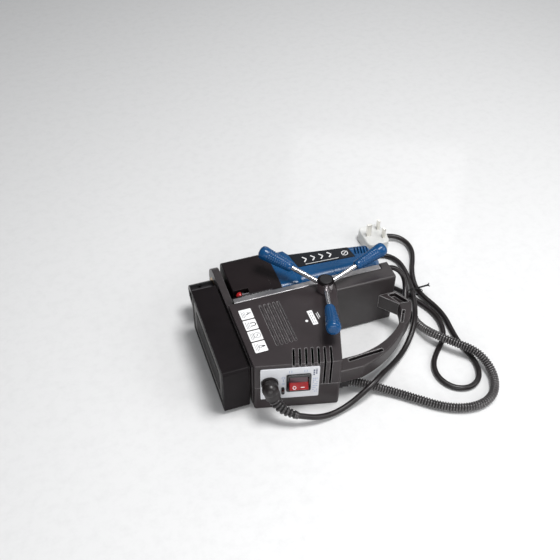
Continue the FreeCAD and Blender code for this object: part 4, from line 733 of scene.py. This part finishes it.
STICKER = (139.5, 147.0, 39.7, 66.5)        # x from and to, y from and to
STICKER_BARS = ((150.6, 48.0, 59.0), (153.0, 50.0, 60.5))                   # (x, from, to)
STICKER_MARKS = ((141.8, 43.0, 4.2, 5), (144.6, 42.4, 6.0, 4))              # (x, from, step, count)
MARK_LENGTH = 2.8
sticker = Print(on_cover, SUNK, FILM)
sticker.slab(rounded(*STICKER, 1.0))
sticker.disc((133.6, 49.6), 2.0)
for x, start, stop in STICKER_BARS:
    sticker.bar((x, start), (x, stop), 0.9)
sticker.make("cover_sticker", "stand", "bright_print")
sticker_marks = Print(on_cover, FILM + SUNK, FILM + INK)
for x, start, step, count in STICKER_MARKS:
    for i in range(count):
        sticker_marks.bar((x, start + step * i), (x, start + step * i + MARK_LENGTH), 0.9)
sticker_marks.make("sticker_marks", "stand", "grey_print")


# ---------------------------------------------------------------- prints on the switch panel
REAR_WALL = Vector((41.0, -4.0))            # where the rear wall starts, and which way it runs
WALL_RUN = (Vector((153.0, -31.0)) - REAR_WALL).normalized()
PANEL_PROUD = 2.0


def on_wall(u, z, out):
    """Point over the rear wall: u along it, z up, out from its plastic face."""
    return at(REAR_WALL.x + WALL_RUN.x * u + WALL_RUN.y * out,
              REAR_WALL.y + WALL_RUN.y * u - WALL_RUN.x * out, z)


def on_panel(u, z, height):
    return on_wall(u, z, PANEL_PROUD + height)


DASH_ROWS, DASHES = 8, 3
DASH_LENGTH, DASH_STEP, DASH_ROW_STEP = 1.6, 2.3, 4.0
DASH_FROM = (77.6, 33.0)
LAMP_MARKS = (((38.2, 58.0), (38.2, 62.4)), ((36.0, 52.5), (40.4, 52.5)),
              ((36.0, 55.0), (40.4, 55.0)))
SWITCH_MARKS = (46.0, 49.0, 66.0, 69.0)
TITLE = ((78.6, 68.0, 80.5), (81.8, 70.5, 80.5))        # (u, from, to) of two columns of blocks
TITLE_STEP, TITLE_BLOCK = 4.2, 3.0
panel_marks = Print(on_panel, SUNK, THICK_INK)
for row in range(DASH_ROWS):
    z = DASH_FROM[1] + DASH_ROW_STEP * row
    for column in range(DASHES):
        if (row * 5 + column * 3) % 4:      # leaves some dashes out, as in lines of print
            u = DASH_FROM[0] + DASH_STEP * column
            panel_marks.bar((u, z), (u + DASH_LENGTH, z), 1.5)
panel_marks.ring((38.2, 66.0), 2.1, 0.7)
for start, stop in LAMP_MARKS:
    panel_marks.bar(start, stop, 0.8)
for u in SWITCH_MARKS:
    panel_marks.bar((u, 76.0), (u, 80.0), 0.8)
panel_marks.make("panel_marks", "stand", "blue_print")
panel_title = Print(on_panel, SUNK, THICK_INK)
for u, start, stop in TITLE:
    for i in range(3):
        z = start + TITLE_STEP * i
        panel_title.bar((u, z), (u, min(z + TITLE_BLOCK, stop)), 2.0)
panel_title.make("panel_title", "stand", "navy_print")

HOLDER_PROUD, LAMP_PROUD = 3.4, 4.2
holder = Print(on_panel, 0.0, HOLDER_PROUD)
holder.slab(rounded(35.6, 39.8, 35.0, 46.5, 1.6))
holder.make("panel_lamp_holder", "stand", "gloss_black")
lamp = Print(on_panel, HOLDER_PROUD, LAMP_PROUD)
lamp.disc((37.7, 43.4), 1.5)
lamp.make("panel_lamp", "stand", "dark_lens")


# ---------------------------------------------------------------- marks on the rocker
ROCKER_TILT = math.radians(-10.0)   # at rest
AXLE_IN, AXLE_Z = 2.0, 55.5         # the axle, inwards from the wall's face and above the ground
ROCKER_RIDGE = 5.5                  # from the axle out to the ridge between the two faces
ROCKER_RISE = 4.0                   # that the lower face comes out further over its height
ROCKER_DROP = 11.5                  # height of the lower face


def on_rocker(u, up, height):
    """Point over the rocker's lower face: up from its ridge, height out of the face."""
    out = ROCKER_RIDGE - ROCKER_RISE * up / ROCKER_DROP + height
    turned = (out * math.cos(ROCKER_TILT) + up * math.sin(ROCKER_TILT),
              up * math.cos(ROCKER_TILT) - out * math.sin(ROCKER_TILT))
    return on_wall(u, AXLE_Z + turned[1], turned[0] - AXLE_IN)


rocker_marks = Print(on_rocker, SUNK, THICK_INK)
rocker_marks.ring((52.6, -7.0), 2.0, 0.8)
rocker_marks.bar((61.0, -7.0), (66.0, -7.0), 0.9)
rocker_marks.make("rocker_marks", "switch", "white_print")


# ---------------------------------------------------------------- marks on the motor and slide
LABEL_FACE, SCALE_FACE = 79.3, 86.8
CHEVRONS, CHEVRON_STEP, CHEVRON_FALL = 4, 13.0, 0.55
CHEVRON = ((176.0, 170.5), (181.0, 176.0), (176.0, 181.5))
SCALE_STEPS = 44                    # millimetres
SCALE_FROM = (65.5, 122.5)
LONG_MARK, SHORT_MARK = 2.6, 1.5

label_marks = Print(lambda x, y, height: at(x, y, LABEL_FACE + height), SUNK, INK)
label_marks.ring((240.5, 170.0), 4.6, 1.3)
label_marks.bar((236.0, 166.2), (245.0, 173.8), 1.2)
for i in range(CHEVRONS):
    label_marks.line([(x + CHEVRON_STEP * i, y - CHEVRON_FALL * i) for x, y in CHEVRON], 2.0)
label_marks.bar((176.0, 165.6), (228.0, 163.4), 0.9)
label_marks.make("label_marks", "slide", "white_print")

scale_marks = Print(lambda x, y, height: at(x, y, SCALE_FACE + height), SUNK, INK)
for i in range(SCALE_STEPS):
    x, y = SCALE_FROM[0] + i, SCALE_FROM[1]
    scale_marks.bar((x, y), (x, y + (SHORT_MARK if i % 5 else LONG_MARK)), 0.28)
scale_marks.make("scale_marks", "slide", "white_print")


# ---------------------------------------------------------------- bright socket screw on the motor
def socket_screw(name, centre, radius, height, body, finish):
    """Cheese head with a hexagonal recess, standing on a face that looks along +z."""
    sides = 30
    hexagon = []
    for i in range(sides):
        turn = i * 360 / sides
        to_corner = turn % 60 - 30
        reach = radius * 0.5 * math.cos(math.radians(30)) / math.cos(math.radians(to_corner))
        hexagon.append((centre[0] + reach * math.cos(math.radians(turn)),
                        centre[1] + reach * math.sin(math.radians(turn))))
    outer = circle(centre[:2], radius, sides)
    rim = circle(centre[:2], radius * 0.88, sides)
    layers = ((outer, 0.0), (outer, 0.8), (rim, 1.0), (hexagon, 1.0), (hexagon, 0.45))
    verts = [at(x, y, centre[2] + height * share) for loop, share in layers for x, y in loop]
    return mesh_piece(name, verts, skin(len(layers), sides), body, finish)


socket_screw("motor_cover_screw", (124.5, 192.8, 84.0), 3.6, 1.6, "slide", "chrome")


# ---------------------------------------------------------------- twisted ends of the cord tie
TIE_WIRE = 0.8 * MM
TWIST_LENGTH = 18 * MM
TWIST_TURNS = 3.5
TWIST_STEPS, SPLAY_FROM = 48, 40            # the two ends spread over the last steps
SPLAY = 0.25
tie_low, tie_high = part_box("cord_tie")
twist_from = Vector((tie_high.x - 9 * MM, (tie_low.y + tie_high.y) / 2, tie_high.z - 2.5 * MM))
twist_run = Vector((0.75, -0.35, 0.45)).normalized()
twist_side = twist_run.orthogonal().normalized()
twist_over = twist_run.cross(twist_side)
for number, phase in ((1, 0.0), (2, math.pi)):
    strand = []
    for i in range(TWIST_STEPS + 1):
        turn = phase + 2 * math.pi * TWIST_TURNS * i / TWIST_STEPS
        out = twist_side * math.cos(turn) + twist_over * math.sin(turn)
        spread = TIE_WIRE * (1.0 + SPLAY * max(0, i - SPLAY_FROM))
        strand.append(twist_from + twist_run * (TWIST_LENGTH * i / TWIST_STEPS) + out * spread)
    tube_mesh("tie_twist_%d" % number, strand, [TIE_WIRE] * len(strand), 8, "stand",
              "matte_black")


# ---------------------------------------------------------------- stage, lights, camera
FLOOR = 6.0                         # half the floor's width
floor = mesh_piece("studio_floor", [(-FLOOR, -FLOOR, 0), (FLOOR, -FLOOR, 0), (FLOOR, FLOOR, 0),
                                    (-FLOOR, FLOOR, 0)],
                   [(0, 1, 2, 3)], None, printed("studio_floor_paint", (0.80, 0.80, 0.80), 0.6))

LIGHTS = (      # (name, place, the point it looks at, size, watts)
    ("key_softbox", (0.3, -0.15, 1.7), (0.0, 0.0, 0.0), (0.55, 0.55), 23.0),
    ("fill_softbox", (1.2, -0.9, 1.1), (0.08, 0.0, 0.0), (1.0, 1.0), 9.0),
    ("back_strip", (0.9, 1.5, 1.1), (0.1, 0.0, 0.05), (0.7, 0.5), 3.0),
    ("front_low", (-0.5, -1.6, 0.6), (0.0, 0.0, 0.05), (1.4, 0.7), 12.0))
for name, place, aim, size, watts in LIGHTS:
    data = bpy.data.lights.new(name, "AREA")
    data.shape = "RECTANGLE"
    data.size, data.size_y = size
    data.energy = watts
    light = bpy.data.objects.new(name, data)
    light.location = place
    light.rotation_mode = "QUATERNION"
    light.rotation_quaternion = (Vector(place) - Vector(aim)).to_track_quat("Z", "Y")
    bpy.context.scene.collection.objects.link(light)

world = bpy.data.worlds.new("studio")
world.use_nodes = True
background = world.node_tree.nodes["Background"]
background.inputs["Color"].default_value = (0.95, 0.97, 1.0, 1.0)
background.inputs["Strength"].default_value = 0.22
bpy.context.scene.world = world
bpy.context.scene.view_settings.view_transform = "Standard"

CAMERA_PLACE = at(-135.77, -586.42, 850.0)
AZIMUTH, ELEVATION, ROLL = (math.radians(v) for v in (-19.86, 44.70, 0.93))
back = Vector((math.sin(AZIMUTH) * math.cos(ELEVATION), -math.cos(AZIMUTH) * math.cos(ELEVATION),
               math.sin(ELEVATION)))
lens = bpy.data.cameras.new("photo_camera")
lens.sensor_width = 36.0
lens.lens = 48.4425
lens.clip_start = 0.02
camera = bpy.data.objects.new("photo_camera", lens)
camera.rotation_mode = "QUATERNION"
camera.rotation_quaternion = ((-back).to_track_quat("-Z", "Y")
                              @ Matrix.Rotation(ROLL, 4, "Z").to_quaternion())
camera.location = CAMERA_PLACE
bpy.context.scene.collection.objects.link(camera)
bpy.context.scene.camera = camera
